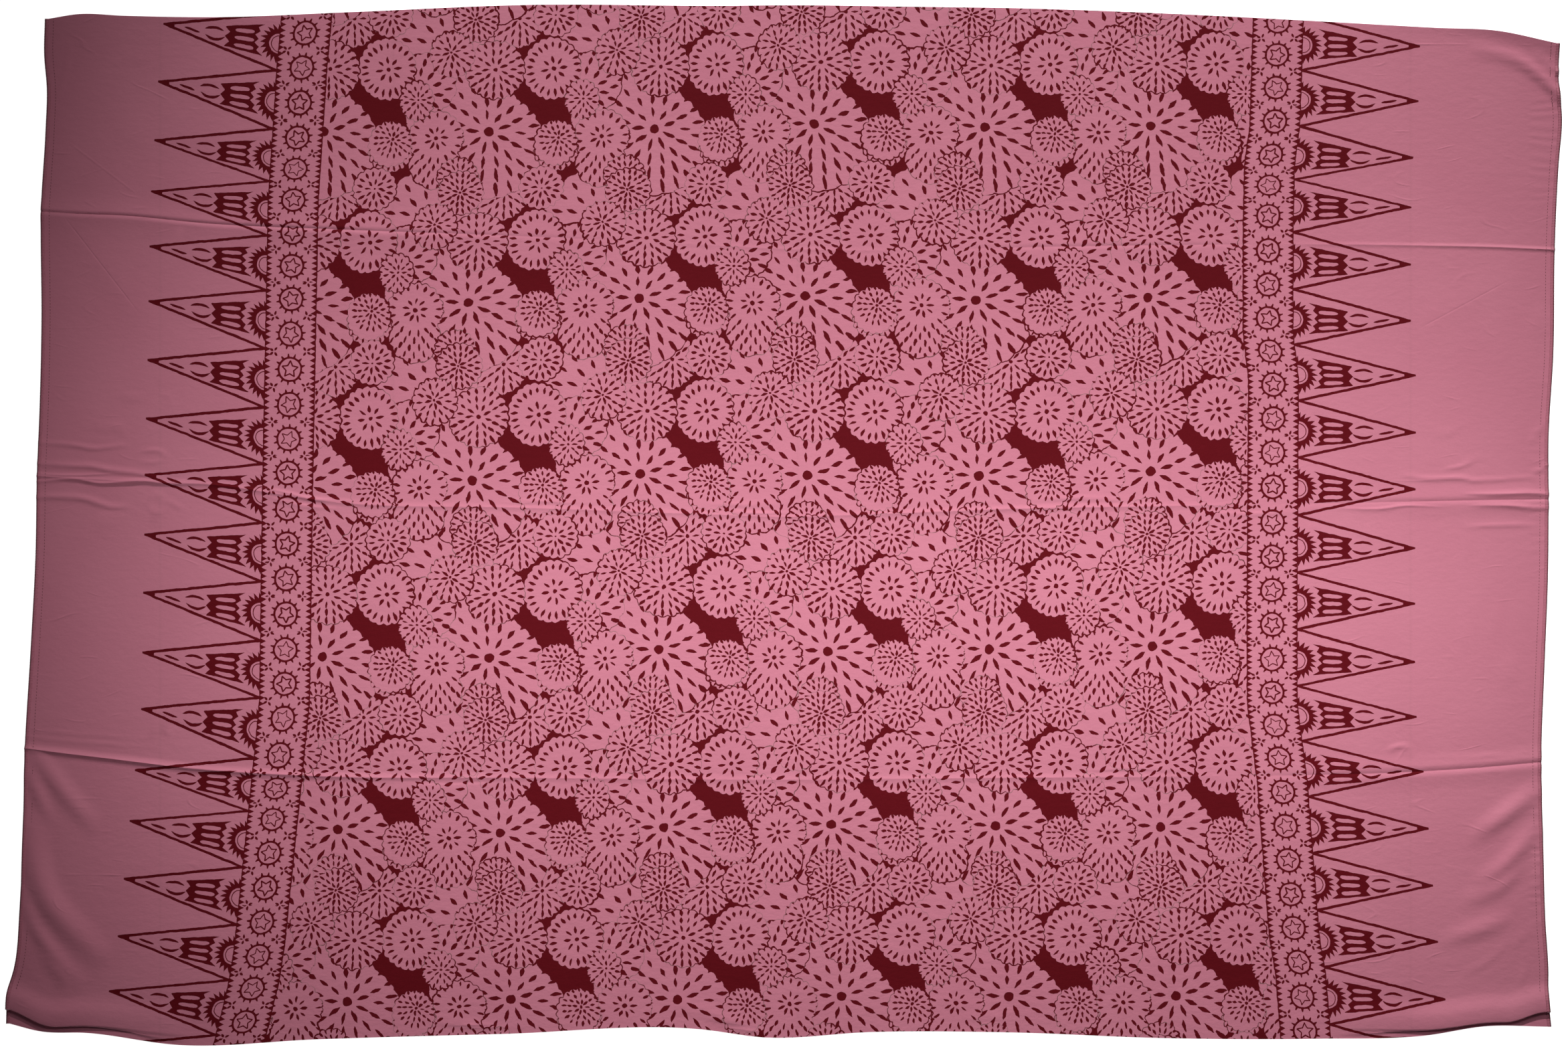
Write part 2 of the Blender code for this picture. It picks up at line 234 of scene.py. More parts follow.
# How far the start of a tuck lifts the cloth and over which part of it, and where it starts to fold
FIRST_LIFT, FIRST_PART = 0.35, 0.2
FOLD_START = 0.15
Tuck = namedtuple("Tuck", "name whole gone overlap shows_at_corner shows_along shows_until")
TUCKS = [
    Tuck("bottom left", 0.018, 0.120, 0.010, 0.0165, 0.0070, 0.030),
    Tuck("bottom right", 0.950, 0.862, 0.013, 0.0170, 0.0045, 0.972),
]

# The parts of the OFBake map: from and to, up the square, and how much of its strip a rim fills
FACE_PART = (0.175, 0.998)
REVERSE_STRIP = (0.002, 0.140)
RIM_STRIP = 0.146
RIM_STEP = 0.006
RIM_FILLED = 0.7

# How many columns and rows of quads each stretch takes
Stretch = namedtuple("Stretch", "until count")
COLUMNS = [
    Stretch(0.050, 24),
    Stretch(0.125, 30),
    Stretch(0.200, 16),
    Stretch(0.800, 60),
    Stretch(0.875, 16),
    Stretch(0.950, 30),
    Stretch(1.000, 24),
]
ROWS = [
    Stretch(0.060, 8),
    Stretch(0.120, 12),
    Stretch(0.267, 12),
    Stretch(0.283, 22),
    Stretch(0.470, 14),
    Stretch(0.530, 12),
    Stretch(0.567, 18),
    Stretch(0.583, 22),
    Stretch(0.610, 12),
    Stretch(0.835, 16),
    Stretch(0.862, 12),
    Stretch(0.878, 22),
    Stretch(1.060, 26),
    Stretch(LINES_DOWN[-1] - TUCK_ZONE, 10),
]

# Where each printed block's great flower lies, one row of blocks to a line: across and down
BLOCK_COLUMNS = np.arange(-1, 5)
BLOCK_ACROSS = np.array([
    [0.3570, 0.5419, 0.7275, 0.9064, 1.0976, 1.2836],
    [0.3315, 0.5190, 0.7106, 0.8963, 1.0875, 1.2799],
    [0.3360, 0.5235, 0.7114, 0.8989, 1.0909, 1.2836],
    [0.3551, 0.5423, 0.7324, 0.9218, 1.1025, 1.2851],
    [0.3728, 0.5550, 0.7376, 0.9259, 1.1096, 1.2945],
    [0.3833, 0.5666, 0.7534, 0.9371, 1.1246, 1.3118],
])
BLOCK_DOWN = np.array([
    [0.1430, 0.1433, 0.1399, 0.1343, 0.1380, 0.1365],
    [0.3370, 0.3349, 0.3296, 0.3266, 0.3319, 0.3285],
    [0.5370, 0.5340, 0.5265, 0.5280, 0.5291, 0.5239],
    [0.7316, 0.7328, 0.7230, 0.7260, 0.7230, 0.7196],
    [0.9248, 0.9293, 0.9229, 0.9195, 0.9210, 0.9221],
    [1.1186, 1.1153, 1.1156, 1.1119, 1.1126, 1.1115],
])

# The borders: where the band's outer line lies, and the points of the row of triangles
BandLine = namedtuple("BandLine", "down across")
LEFT_LINE = [
    BandLine(0.023, 0.3090),
    BandLine(0.070, 0.3045),
    BandLine(0.220, 0.2948),
    BandLine(0.370, 0.2918),
    BandLine(0.520, 0.2888),
    BandLine(0.782, 0.2850),
    BandLine(0.872, 0.2760),
    BandLine(1.060, 0.2565),
    BandLine(1.100, 0.2498),
    BandLine(1.158, 0.2355),
]
RIGHT_LINE = [
    BandLine(0.019, 1.4543),
    BandLine(0.137, 1.4505),
    BandLine(0.180, 1.4445),
    BandLine(0.250, 1.4430),
    BandLine(0.370, 1.4430),
    BandLine(0.420, 1.4490),
    BandLine(0.655, 1.4475),
    BandLine(0.782, 1.4475),
    BandLine(0.872, 1.4588),
    BandLine(1.045, 1.4723),
    BandLine(1.083, 1.4790),
    BandLine(1.149, 1.4843),
]
LEFT_POINTS = np.array([
    0.0225, 0.0870, 0.1530, 0.2100, 0.2715, 0.3330, 0.3990, 0.4650, 0.5280,
    0.5948, 0.6600, 0.7268, 0.7898, 0.8588, 0.9158, 0.9803, 1.0448, 1.1063,
])
RIGHT_POINTS = np.array([
    0.0473, 0.1088, 0.1725, 0.2273, 0.2918, 0.3548, 0.4163, 0.4800, 0.5438,
    0.6098, 0.6720, 0.7373, 0.7988, 0.8603, 0.9240, 0.9878, 1.0508, 1.1153,
])
BLOCK_SHIFTS = (BLOCK_ACROSS.mean(axis=1) - BLOCK_ACROSS.mean()) / np.diff(BLOCK_ACROSS, axis=1).mean()

# The printed block, in millimetres: its width and height, and how thick its carved lines are
BLOCK = (185.25, 196.5)
LINE = 0.62
NONE = 50

# The rows of blocks are printed a little apart: how far below the great flowers one row ends and
# the next begins, for the flowers that lie above 50 mm and for those below, in rows
ROW_ENDS = (0.43, 0.0)
LOWER = 50

# The block's flowers from the back one to the front one, measured from the great flower's middle:
# the middle that its marks stand round, the discs of its outline, and its rings of marks. Marks lower down
# are a little longer. A gap of NONE leaves out no ring.
Disc = namedtuple("Disc", "x y radius tall")
Flower = namedtuple("Flower", "name x y discs scallops first step count more long wide dot gap last")
FLOWERS = [
    Flower("sparse behind", 143.2, 106.5, [Disc(143.2, 106.5, 64.5, 1.0)],
           26, 19.5, 16.5, 9, 5, 11.2, 2.25, 5.2, NONE, 9),
    Flower("fan", 34.5, 69.0, [Disc(30.0, 71.2, 30.8, 1.0)], 20, 9.0, 9.0, 8, 6, 7.5, 1.58, 2.2, NONE, 9),
    Flower("great", 0.0, 0.0, [Disc(1.5, 16.5, 60.0, 1.0), Disc(-31.5, -25.5, 63.0, 1.0)],
           26, 18.8, 16.1, 9, 6, 12.0, 2.40, 5.4, NONE, 9),
    Flower("right behind", 106.5, -45.0, [Disc(114.0, -54.0, 34.5, 1.0)],
           14, 23.2, 10.5, 12, 3, 9.8, 2.17, 3.0, NONE, 9),
    Flower("left of great", 126.4, 7.3, [Disc(126.4, 7.3, 30.4, 1.0), Disc(126.0, 37.5, 27.8, 1.0)],
           20, 10.1, 7.9, 9, 4, 7.1, 1.65, 2.5, 1, 9),
    Flower("double edge", 78.0, 15.0, [Disc(75.8, 21.8, 24.0, 1.0)],
           18, 6.0, 7.1, 8, 6, 5.2, 1.35, 0.8, NONE, 9),
    Flower("small right", 78.0, 8.2, [Disc(75.0, 14.0, 23.6, 1.08)],
           18, 6.4, 6.6, 8, 5, 5.2, 1.42, 1.7, NONE, 2),
    Flower("ringed", 73.1, -70.2, [Disc(70.9, -70.5, 31.9, 1.08)],
           22, 10.9, 16.1, 8, 14, 7.5, 1.80, 2.4, NONE, 1),
    Flower("full", 7.3, -70.2, [Disc(7.3, -69.8, 32.6, 1.0)], 20, 10.9, 9.2, 9, 6, 7.5, 1.72, 2.5, NONE, 9),
    Flower("below right", 75.2, 65.6, [Disc(75.2, 65.2, 24.0, 1.0)],
           17, 8.2, 9.4, 8, 8, 6.8, 1.65, 1.1, NONE, 1),
    Flower("crescent", -16.5, 52.5, [Disc(-18.0, 52.5, 22.5, 1.0)],
           16, 6.3, 7.3, 8, 6, 6.8, 1.42, 1.1, NONE, 9),
    Flower("below", -14.7, 69.8, [Disc(-13.9, 69.8, 24.8, 1.0)], 18, 6.4, 7.4, 8, 6, 6.4, 1.58, 1.5, NONE, 2),
    Flower("oval", 105.8, -35.8, [Disc(104.2, -35.2, 18.8, 1.17)],
           15, 6.8, 6.8, 8, 4, 5.6, 1.35, 1.4, NONE, 2),
    Flower("lower left", -41.9, 106.7, [Disc(-40.9, 108.8, 24.4, 1.05)],
           17, 7.1, 8.6, 8, 5, 6.8, 1.50, 1.4, NONE, 2),
]
# What the flower table's numbers are divided by to go through a ramp of colours
TABLE_UNIT = 100.0

# A flower's outline and marks, in millimetres: how deep its scallops are and how far in they start; how
# far a mark reaches each way as a share of its length, how wide it is as a share of its width, and how
# far it slips along its ring, each with what chance adds; and how much longer marks lower down are
SCALLOP_DEEP = 1.95
SCALLOP_IN = 0.75
REACH, REACH_CHANCE = 0.53, 0.12
WIDE, WIDE_CHANCE = 0.74, 0.32
SLIP_CHANCE = 1.5
LOWER_LONGER = 0.0053
# How far a ring of marks is turned from the one inside it, and the front flower's from the back one's, in
# marks; and what keeps the chances of rings and of flowers apart
RING_TURN, FLOWER_TURN = 0.5, 5.0
RING_SEED, FLOWER_SEED = 7.0, 300.0

# How the print wanders, the borders by a share of it, and how its lines thin out, in millimetres
WARP = 3.6
WARP_SCALE = 0.12
BORDER_WARP = 0.5
THIN_SCALE = 0.020
THIN_CHANGE, THIN_MEAN, THIN_LEAST = 4.5, 0.80, 0.50
OUTLINE_CHANGE, OUTLINE_LEAST = 1.4, -0.35

# The borders, in millimetres: how far apart the triangles stand and how long they are, the band's width
# and its circles' spacing, and how far the triangles lean, in triangles from base to tip
TRIANGLE = 64.0
TRIANGLE_LONG = 130.0
BAND = 56.0
CIRCLE = TRIANGLE * 3 / 5
LEAN_LEFT = 0.30
LEAN_RIGHT = -0.06

# The band of circles: the half widths of its two lines, its teeth for each circle, and the parts of a
# circle. A ray gets narrower outwards, and is as wide as given at its middle. Ticks, star and petals are
# turned from one circle to the next by a share of their own spacing.
Ray = namedtuple("Ray", "count wide taper middle")
BAND_LINES = (0.6, 0.7)
BAND_FROM, BAND_UNTIL = -0.6, BAND + 0.7
CIRCLES_FROM, CIRCLES_EACH = 0.24, 5 / 3
TEETH = 6.0
TOOTH_LONG, TOOTH_TAPER = 6.2, 6.6
CIRCLE_RING = (12.7, 1.15)
TICK = Ray(13.0, 1.5, 0.25, 13.5)
TICK_FROM, TICK_UNTIL = 12.0, 17.2
TICK_TURN, STAR_TURN, PETAL_TURN = 0.3, 0.37, 0.21
STAR_POINTS = 5.0
STAR_SLOPE, STAR_IN, STAR_REACH = 0.50, 4.6, 9.6
STAR_LINE, STAR_LINE_CHANCE = 0.6, 0.4
PETALS = 4.0
PETAL_ASIDE, PETAL_MIDDLE, PETAL_REACH, PETAL_WIDE = 18.2, 3.6, 2.6, 1.35

# Inside a triangle, from its tip: the half width of its outline, its filled tip, the strokes, the crown
# with its slots and the half sun. A stroke leans or bows by so much for each millimetre along, or for its
# square. The crown has a row of points on both short sides, the far one is hollow, and its slots fan out.
TRIANGLE_LINE = 1.55
PAST_TIP = 2.0
TRIANGLE_TIP = 11.0
Stroke = namedtuple("Stroke", "aside lean bow middle low high thick")
STROKES = [
    Stroke(0.0, 0.20, 0.0, 24.0, 22.0, 40.0, 1.4),
    Stroke(-4.6, 0.0, 3.0 / 144, 56.0, 45.0, 67.0, 1.5),
    Stroke(8.2, 0.0, -4.6 / 144, 57.5, 46.0, 69.0, 1.6),
]
Points = namedtuple("Points", "aside pitch deep")
CROWN_FROM, CROWN_UNTIL = 68.5, 106.5
NEAR_POINTS, FAR_POINTS = Points(7.6, 10.6, 10.0), Points(16.5, 8.6, 9.0)
HOLLOW_ASIDE, HOLLOW_HALF, HOLLOW_DEEP = 1.0, 17.5, 6.0
CROWN_SIDES = (-8.4, 14.0)
CROWN_WIDENS = (-0.185, 0.105)
SLOT, SLOT_MIDDLE, SLOT_HALF, SLOTS_REACH = 8.6, 90.5, 11.0, 12.6
SLOT_BULGE = 4.6
FAN_ASIDE, FAN_FROM, FAN_GROWS = 2.7, 90.0, 0.007
SUN_ASIDE = 2.5
SUN_RINGS = [(8.8, 0.5), (12.9, 1.7)]
FLAME = Ray(21.0, 3.0, 0.36, 14.0)
FLAME_FROM = 12.0
FLAME_BEND = 0.05

# Colours of the dyed cloth and the threads
PINK = (0.545, 0.173, 0.246, 1.0)
PINK_PALE = (0.635, 0.228, 0.305, 1.0)
FAINT = (0.290, 0.135, 0.145, 1.0)
MAROON = (0.098, 0.0006, 0.0040, 1.0)
MAROON_WORN = (0.145, 0.0035, 0.0100, 1.0)
HEM_PINK = (0.430, 0.118, 0.172, 1.0)
HEM_PALE = (0.500, 0.150, 0.215, 1.0)
# HEM_RED also colours the hem's outer side, where it is partly dark thread and partly painted shade
HEM_RED = (0.150, 0.030, 0.042, 1.0)
THREAD_RED = (0.300, 0.080, 0.110, 1.0)

# Fine straight creases that only the bump shows, in millimetres as the cloth's tables: half width,
# height, and the two ends
FineCrease = namedtuple("FineCrease", "half_width height x0 y0 x1 y1")
FINE_CREASES = [
    FineCrease(1.3, -0.55, 66, 238, 150, 346),
    FineCrease(1.8, 0.40, 70, 154, 149, 214),
    FineCrease(1.4, -0.40, 1580, 366, 1688, 308),
]

# Where the pressed lines lie across the cloth, painted darker as partly wear and partly painted shade, and
# how far from its middle the thin wrinkles start
PRESS_LINES = [-0.699, -0.438, 0.0154, 0.432, 0.702]
WRINKLED_ENDS = 0.50

# How fast drawn wrinkles fade at their ends; the scattered ones' noise, how thin they are, the patches
# that they lie in and how fast they start; and the puckers' bend, rise across and groups down the hem
FINE_FADE = 3.0
WRINKLE_SCALE, WRINKLE_RUN, WRINKLE_THIN = 34.0, (0.45, 1.2, 1.0), 30.0
PATCH_GAIN, PATCH_LEAST, ENDS_GAIN = 2.4, 1.35, 6.0
PUCKER_BEND, PUCKER_GAIN, PUCKER_START, PUCKER_MOST = 9.0, 40.0, 33.3, 0.25
GROUP_TURN, GROUP_START = 15.5, 1.1

# The cloth's surface: the pitch of its threads and of the puckers at the right hem, the half width of the
# pressed lines, and the bump's depth
THREAD_PITCH = 0.0006
PUCKER_PITCH = 0.011
PRESS_HALF = 0.0026
BUMP_DEEP = 0.0012

# How the dye clouds and flecks, how far the pressed lines darken it (partly wear, partly painted shade) and
# the reverse fades it, how rough it is, and the crumples and threads in the bump
CLOUD_SCALE, FLECK_SCALE, CLOUD_SHARE = 9.0, 900.0, 0.65
PRESS_WEAR_AND_SHADE, REVERSE_FADE = 0.08, 0.25
ROUGH, ROUGH_INK, ROUGH_CLOUD = 0.48, 0.30, 0.10
CRUMPLE_SCALE, CRUMPLE_RUN, CRUMPLE_ROUGH = 75.0, (1.0, 1.7, 1.0), 0.65
THREAD_RISE, CRUMPLE_RISE = 0.02, 0.8

# The hem thread: past which cosine round its tube the dark outer side starts, partly dark thread and partly
# painted shade, its fibres and roughness
SHADED_OUTER_SIDE = 0.35
FIBRE_SCALE, FIBRE_RUN = 1800.0, (1.0, 3.0, 1.0)
THREAD_ROUGH, THREAD_ROUGH_CLOUD = 0.55, 0.15

# The angle past which two faces of the cloth meet in a sharp edge, as at its rim
RIM_ANGLE = math.radians(60.0)

# The studio: its lamps, its floor and the light from all round
LIGHT_COLOUR = (1.0, 0.985, 0.98)
SPOT_CONE = 0.292
STRIP_LIGHT = (0.12, 1.59)
Lamp = namedtuple("Lamp", "name kind place aim power")
LAMPS = [
    Lamp("overhead light", "AREA", (0.13, -0.09, 0.49), (0.13, -0.09, 0.0), 3.2),
    Lamp("raking light", "SPOT", (0.40, 7.5, 3.9), (0.184, 0.331, 0.0), 3650.0),
]
FLOOR_SIZE = 12.0
FLOOR_DROP = 0.0002
FLOOR_COLOUR = (0.86, 0.86, 0.87, 1.0)
FLOOR_GLOW = 0.92
ROOM_LIGHT = 0.04
WHITE = (1.0, 1.0, 1.0, 1.0)


def column_of(rows, name):
    """One named column of a table, as an array."""
    return np.array([getattr(row, name) for row in rows])


def stations(stretches):
    """The places where the columns or rows of quads meet, spread evenly over each stretch."""
    places = [0.0]
    for stretch in stretches:
        places.extend(np.linspace(places[-1], stretch.until, stretch.count + 1)[1:])
    return np.array(places)


def smooth(at, knots, values):
    """A smooth curve through the values at the knots, read at the places in at."""
    slopes = np.gradient(values, knots)
    i = np.clip(np.searchsorted(knots, at) - 1, 0, len(knots) - 2)
    width = knots[i + 1] - knots[i]
    t = (at - knots[i]) / width
    from_start = (1 + 2 * t) * (1 - t) ** 2 * values[i] + t * (1 - t) ** 2 * width * slopes[i]
    from_end = t * t * (3 - 2 * t) * values[i + 1] - t * t * (1 - t) * width * slopes[i + 1]
    return from_start + from_end


def ease(t):
    """0 to 1 with level ends, for a t that runs from 0 to 1 and is held outside that."""
    t = np.clip(t, 0.0, 1.0)
    return t * t * (3 - 2 * t)


def bump(t):
    """1 at t = 0, falling smoothly to 0 at t = 1 and beyond."""
    return 1 - ease(np.abs(t))


def lines_down(along):
    """How far down the five lengthwise lines lie, one row of five for each place along."""
    knots = column_of(SECTIONS, "along")
    names = ("top", "fold_1", "fold_2", "fold_3", "bottom")
    return np.stack([smooth(along, knots, column_of(SECTIONS, n)) for n in names], axis=1)


def down_places(along, down):
    """How far down each row of the flat cloth lies at each column."""
    return np.stack([np.interp(down, LINES_DOWN, line) for line in lines_down(along)], axis=1)


def across_places(along, y):
    """How far across each point lies, from where the two ends are at that point's height."""
    lines = lines_down(along)
    level = np.stack([np.interp(y[:, i], line, LINES_DOWN) for i, line in enumerate(lines)], axis=1)
    inset = HEM_WIDTH + SEAM_GAP
    knots = column_of(ENDS, "down")
    left = smooth(level, knots, column_of(ENDS, "left")) + inset
    right = smooth(level, knots, column_of(ENDS, "right")) - inset
    return left + along[None, :] * (right - left)


def cusp(t):
    """1 at t = 0, falling to 0 at t = 1 and beyond, and steepest at 0, as a pinched crease is."""
    return (1 - np.clip(np.abs(t), 0.0, 1.0)) ** 2


def fold_height(along, down):
    """How high the ironed fold lines stand over the grid."""
    height = np.zeros((len(down), len(along)))
    for fold in FOLDS:
        crest = smooth(along, np.array(FOLD_PLACES), np.array(fold.heights) * MM)[None, :]
        away = (down[:, None] - fold.down) / MM
        swell = np.maximum(-crest, 0.0) * bump(away / SWELL)
        height += swell + crest * cusp(away / fold.half_width)
    return height


def crease_line(points):
    """The points of a crease, with a smooth curve through the ones given."""
    points = np.array(points) * MM
    knots = np.arange(len(points), dtype=float)
    at = np.linspace(0.0, knots[-1], CREASE_STEPS * (len(points) - 1) + 1)
    return np.stack([smooth(at, knots, points[:, i]) for i in range(2)], axis=1)


def crease_height(x, y):
    """How high the creases stand, each dying out at its ends."""
    height = np.zeros_like(x)
    for crease in CREASES:
        line = crease_line(crease.points)
        nearest = np.full_like(x, 1.0)
        share = np.zeros_like(x)
        for number, (start, end) in enumerate(zip(line[:-1], line[1:])):
            run = end - start
            t = ((x - start[0]) * run[0] + (y - start[1]) * run[1]) / (run @ run)
            t = np.clip(t, 0.0, 1.0)
            away = np.hypot(x - start[0] - t * run[0], y - start[1] - t * run[1])
            share = np.where(away < nearest, (number + t) / (len(line) - 1), share)
            nearest = np.minimum(nearest, away)
        away = nearest / MM
        shape = cusp if crease.half_width < SOFT_CREASE else bump
        fade = CREASE_END + (1 - CREASE_END) * np.sin(np.pi * share)
        crest = crease.height * MM * fade
        ridge = crest * shape(away / crease.half_width)
        if crease.height < 0:
            ridge = ridge - crest * bump(away / SWELL)
        height = np.maximum(height, ridge)
    return height


def half_turn(lip, radius, middle, from_above):
    """Points of a half turn whose outermost point is at lip, as (down, height) pairs."""
    side = 1 if from_above else -1
    turn = np.linspace(np.pi / 2, -np.pi / 2, BEND_STEPS + 1)
    return [(lip - side * radius * (1 - np.cos(a)), middle + radius * np.sin(a)) for a in turn]


def tucked_section(overlap, shows):
    """The section of a tucked edge, as (down from the lip, height): over, back under and out."""
    rise = [(-at * RISE_LENGTH, TOP_LAYER * ease((1 - at) / RISE_OVER)) for at in RISE_PLACES]
    lip = half_turn(0.0, LIP_BEND, (TOP_LAYER + MIDDLE_LAYER) / 2, True)
    back = half_turn(-overlap, BACK_BEND, BACK_BEND, False)
    return np.array(rise + lip + back + [(shows / 2, 0.0), (shows, 0.0)])


TUCK_ROWS = len(tucked_section(0.0, 0.0))


def tuck_amounts(place):
    """The tuck at one place along: how whole it is, its overlap and how far its strip shows."""
    for tuck in TUCKS:
        whole = (place - tuck.gone) / (tuck.whole - tuck.gone)
        if whole > 0:
            corner = round(tuck.whole)
            near = bump((place - corner) / (tuck.shows_until - corner))
            shows = tuck.shows_along + near * (tuck.shows_at_corner - tuck.shows_along)
            return min(whole, 1.0), tuck.overlap, shows
    return 0.0, 0.0, 0.0


def panel_points():
    """The cloth's middle surface, as an array of points for each row and column."""
    along = stations(COLUMNS)
    down = stations(ROWS)
    bend_down = np.linspace(LINES_DOWN[-1] - BEND_ZONE, LINES_DOWN[-1], TUCK_ROWS - RISE_ROWS)
    rise_down = np.linspace(down[-1], bend_down[0], RISE_ROWS + 1)
    down = np.concatenate([down[:-1], rise_down[:-1], bend_down])
    y = down_places(along, down)
    x = across_places(along, y)
    height = fold_height(along, down)
    height = np.maximum(height, FOLD_KEPT * height + crease_height(x, y))
    first = len(down) - TUCK_ROWS
    for column, place in enumerate(along):
        whole, overlap, shows = tuck_amounts(place)
        if not whole:
            continue
        section = tucked_section(overlap, shows)
        lifted = FIRST_LIFT * ease(whole / FIRST_PART)
        lifted += (1 - FIRST_LIFT) * ease((whole - FIRST_PART) / (1 - FIRST_PART))
        folded = ease((whole - FOLD_START) / (1 - FOLD_START))
        lip = y[-1, column] - shows
        y[first:, column] += folded * (lip + section[:, 0] - y[first:, column])
        height[first:, column] = lifted * section[:, 1]
    return np.stack([across_places(along, y), -y, np.maximum(height, 0.0)], axis=2)


def print_down(points):
    """How far down the print lies on the cloth: in plan, and along the cloth where it turns under."""
    steps = np.diff(points, axis=0)
    lengths = np.where(steps[:, :, 1] < 0, -steps[:, :, 1], np.hypot(steps[:, :, 1], steps[:, :, 2]))
    start = -points[0, :, 1]
    return start[None, :] + np.concatenate([np.zeros((1, points.shape[1])), np.cumsum(lengths, axis=0)])


def spread(at, knots, values):
    """Linear between the knots, and carried on at the end slopes beyond them."""
    inner = np.interp(at, knots, values)
    low = values[0] + (at - knots[0]) * (values[1] - values[0]) / (knots[1] - knots[0])
    high = values[-1] + (at - knots[-1]) * (values[-1] - values[-2]) / (knots[-1] - knots[-2])
    return np.where(at < knots[0], low, np.where(at > knots[-1], high, inner))


def block_places(x, y):
    """Each point's place in the printed blocks: columns and rows of blocks, counted at the great flowers."""
    columns = np.stack([spread(x, row, BLOCK_COLUMNS) for row in BLOCK_ACROSS])
    columns += BLOCK_SHIFTS[:, None, None]
    rows_down = np.stack([np.interp(x, across, down) for across, down in zip(BLOCK_ACROSS, BLOCK_DOWN)])
    column = columns[0].copy()
    pitch = (rows_down[-1] - rows_down[0]) / (len(rows_down) - 1)
    row = (y - rows_down[0]) / pitch
    for i in range(len(rows_down) - 1):
        t = (y - rows_down[i]) / (rows_down[i + 1] - rows_down[i])
        inside = (t >= 0) & (t <= 1)
        row = np.where(inside, i + t, row)
        column = np.where(inside, columns[i] * (1 - t) + columns[i + 1] * t, column)
    below = y > rows_down[-1]
    row = np.where(below, len(rows_down) - 1 + (y - rows_down[-1]) / pitch, row)
    column = np.where(below, columns[-1], column)
    return column, row


def border_places(x, y):
    """Each point's place in the borders: inwards from the band's outer line, and in triangles down."""
    left = x - spread(y, column_of(LEFT_LINE, "down"), column_of(LEFT_LINE, "across"))
    right = spread(y, column_of(RIGHT_LINE, "down"), column_of(RIGHT_LINE, "across")) - x
    count = np.arange(len(LEFT_POINTS))
    on_left = left < right
    triangle = np.where(on_left, spread(y, LEFT_POINTS, count), spread(y, RIGHT_POINTS, count))
    return np.where(on_left, left, right), triangle


class Value:
    """A number that changes over a surface; sums on it add the Math nodes that work them out."""

    def __init__(self, paint, socket):
        self.paint = paint
        self.socket = socket

    def __add__(self, other):
        return self.paint.math("ADD", self, other)

    def __sub__(self, other):
        return self.paint.math("SUBTRACT", self, other)

    def __rsub__(self, other):
        return self.paint.math("SUBTRACT", other, self)

    def __mul__(self, other):
        return self.paint.math("MULTIPLY", self, other)

    def __truediv__(self, other):
        return self.paint.math("DIVIDE", self, other)

    def __rtruediv__(self, other):
        return self.paint.math("DIVIDE", other, self)

    __radd__ = __add__
    __rmul__ = __mul__


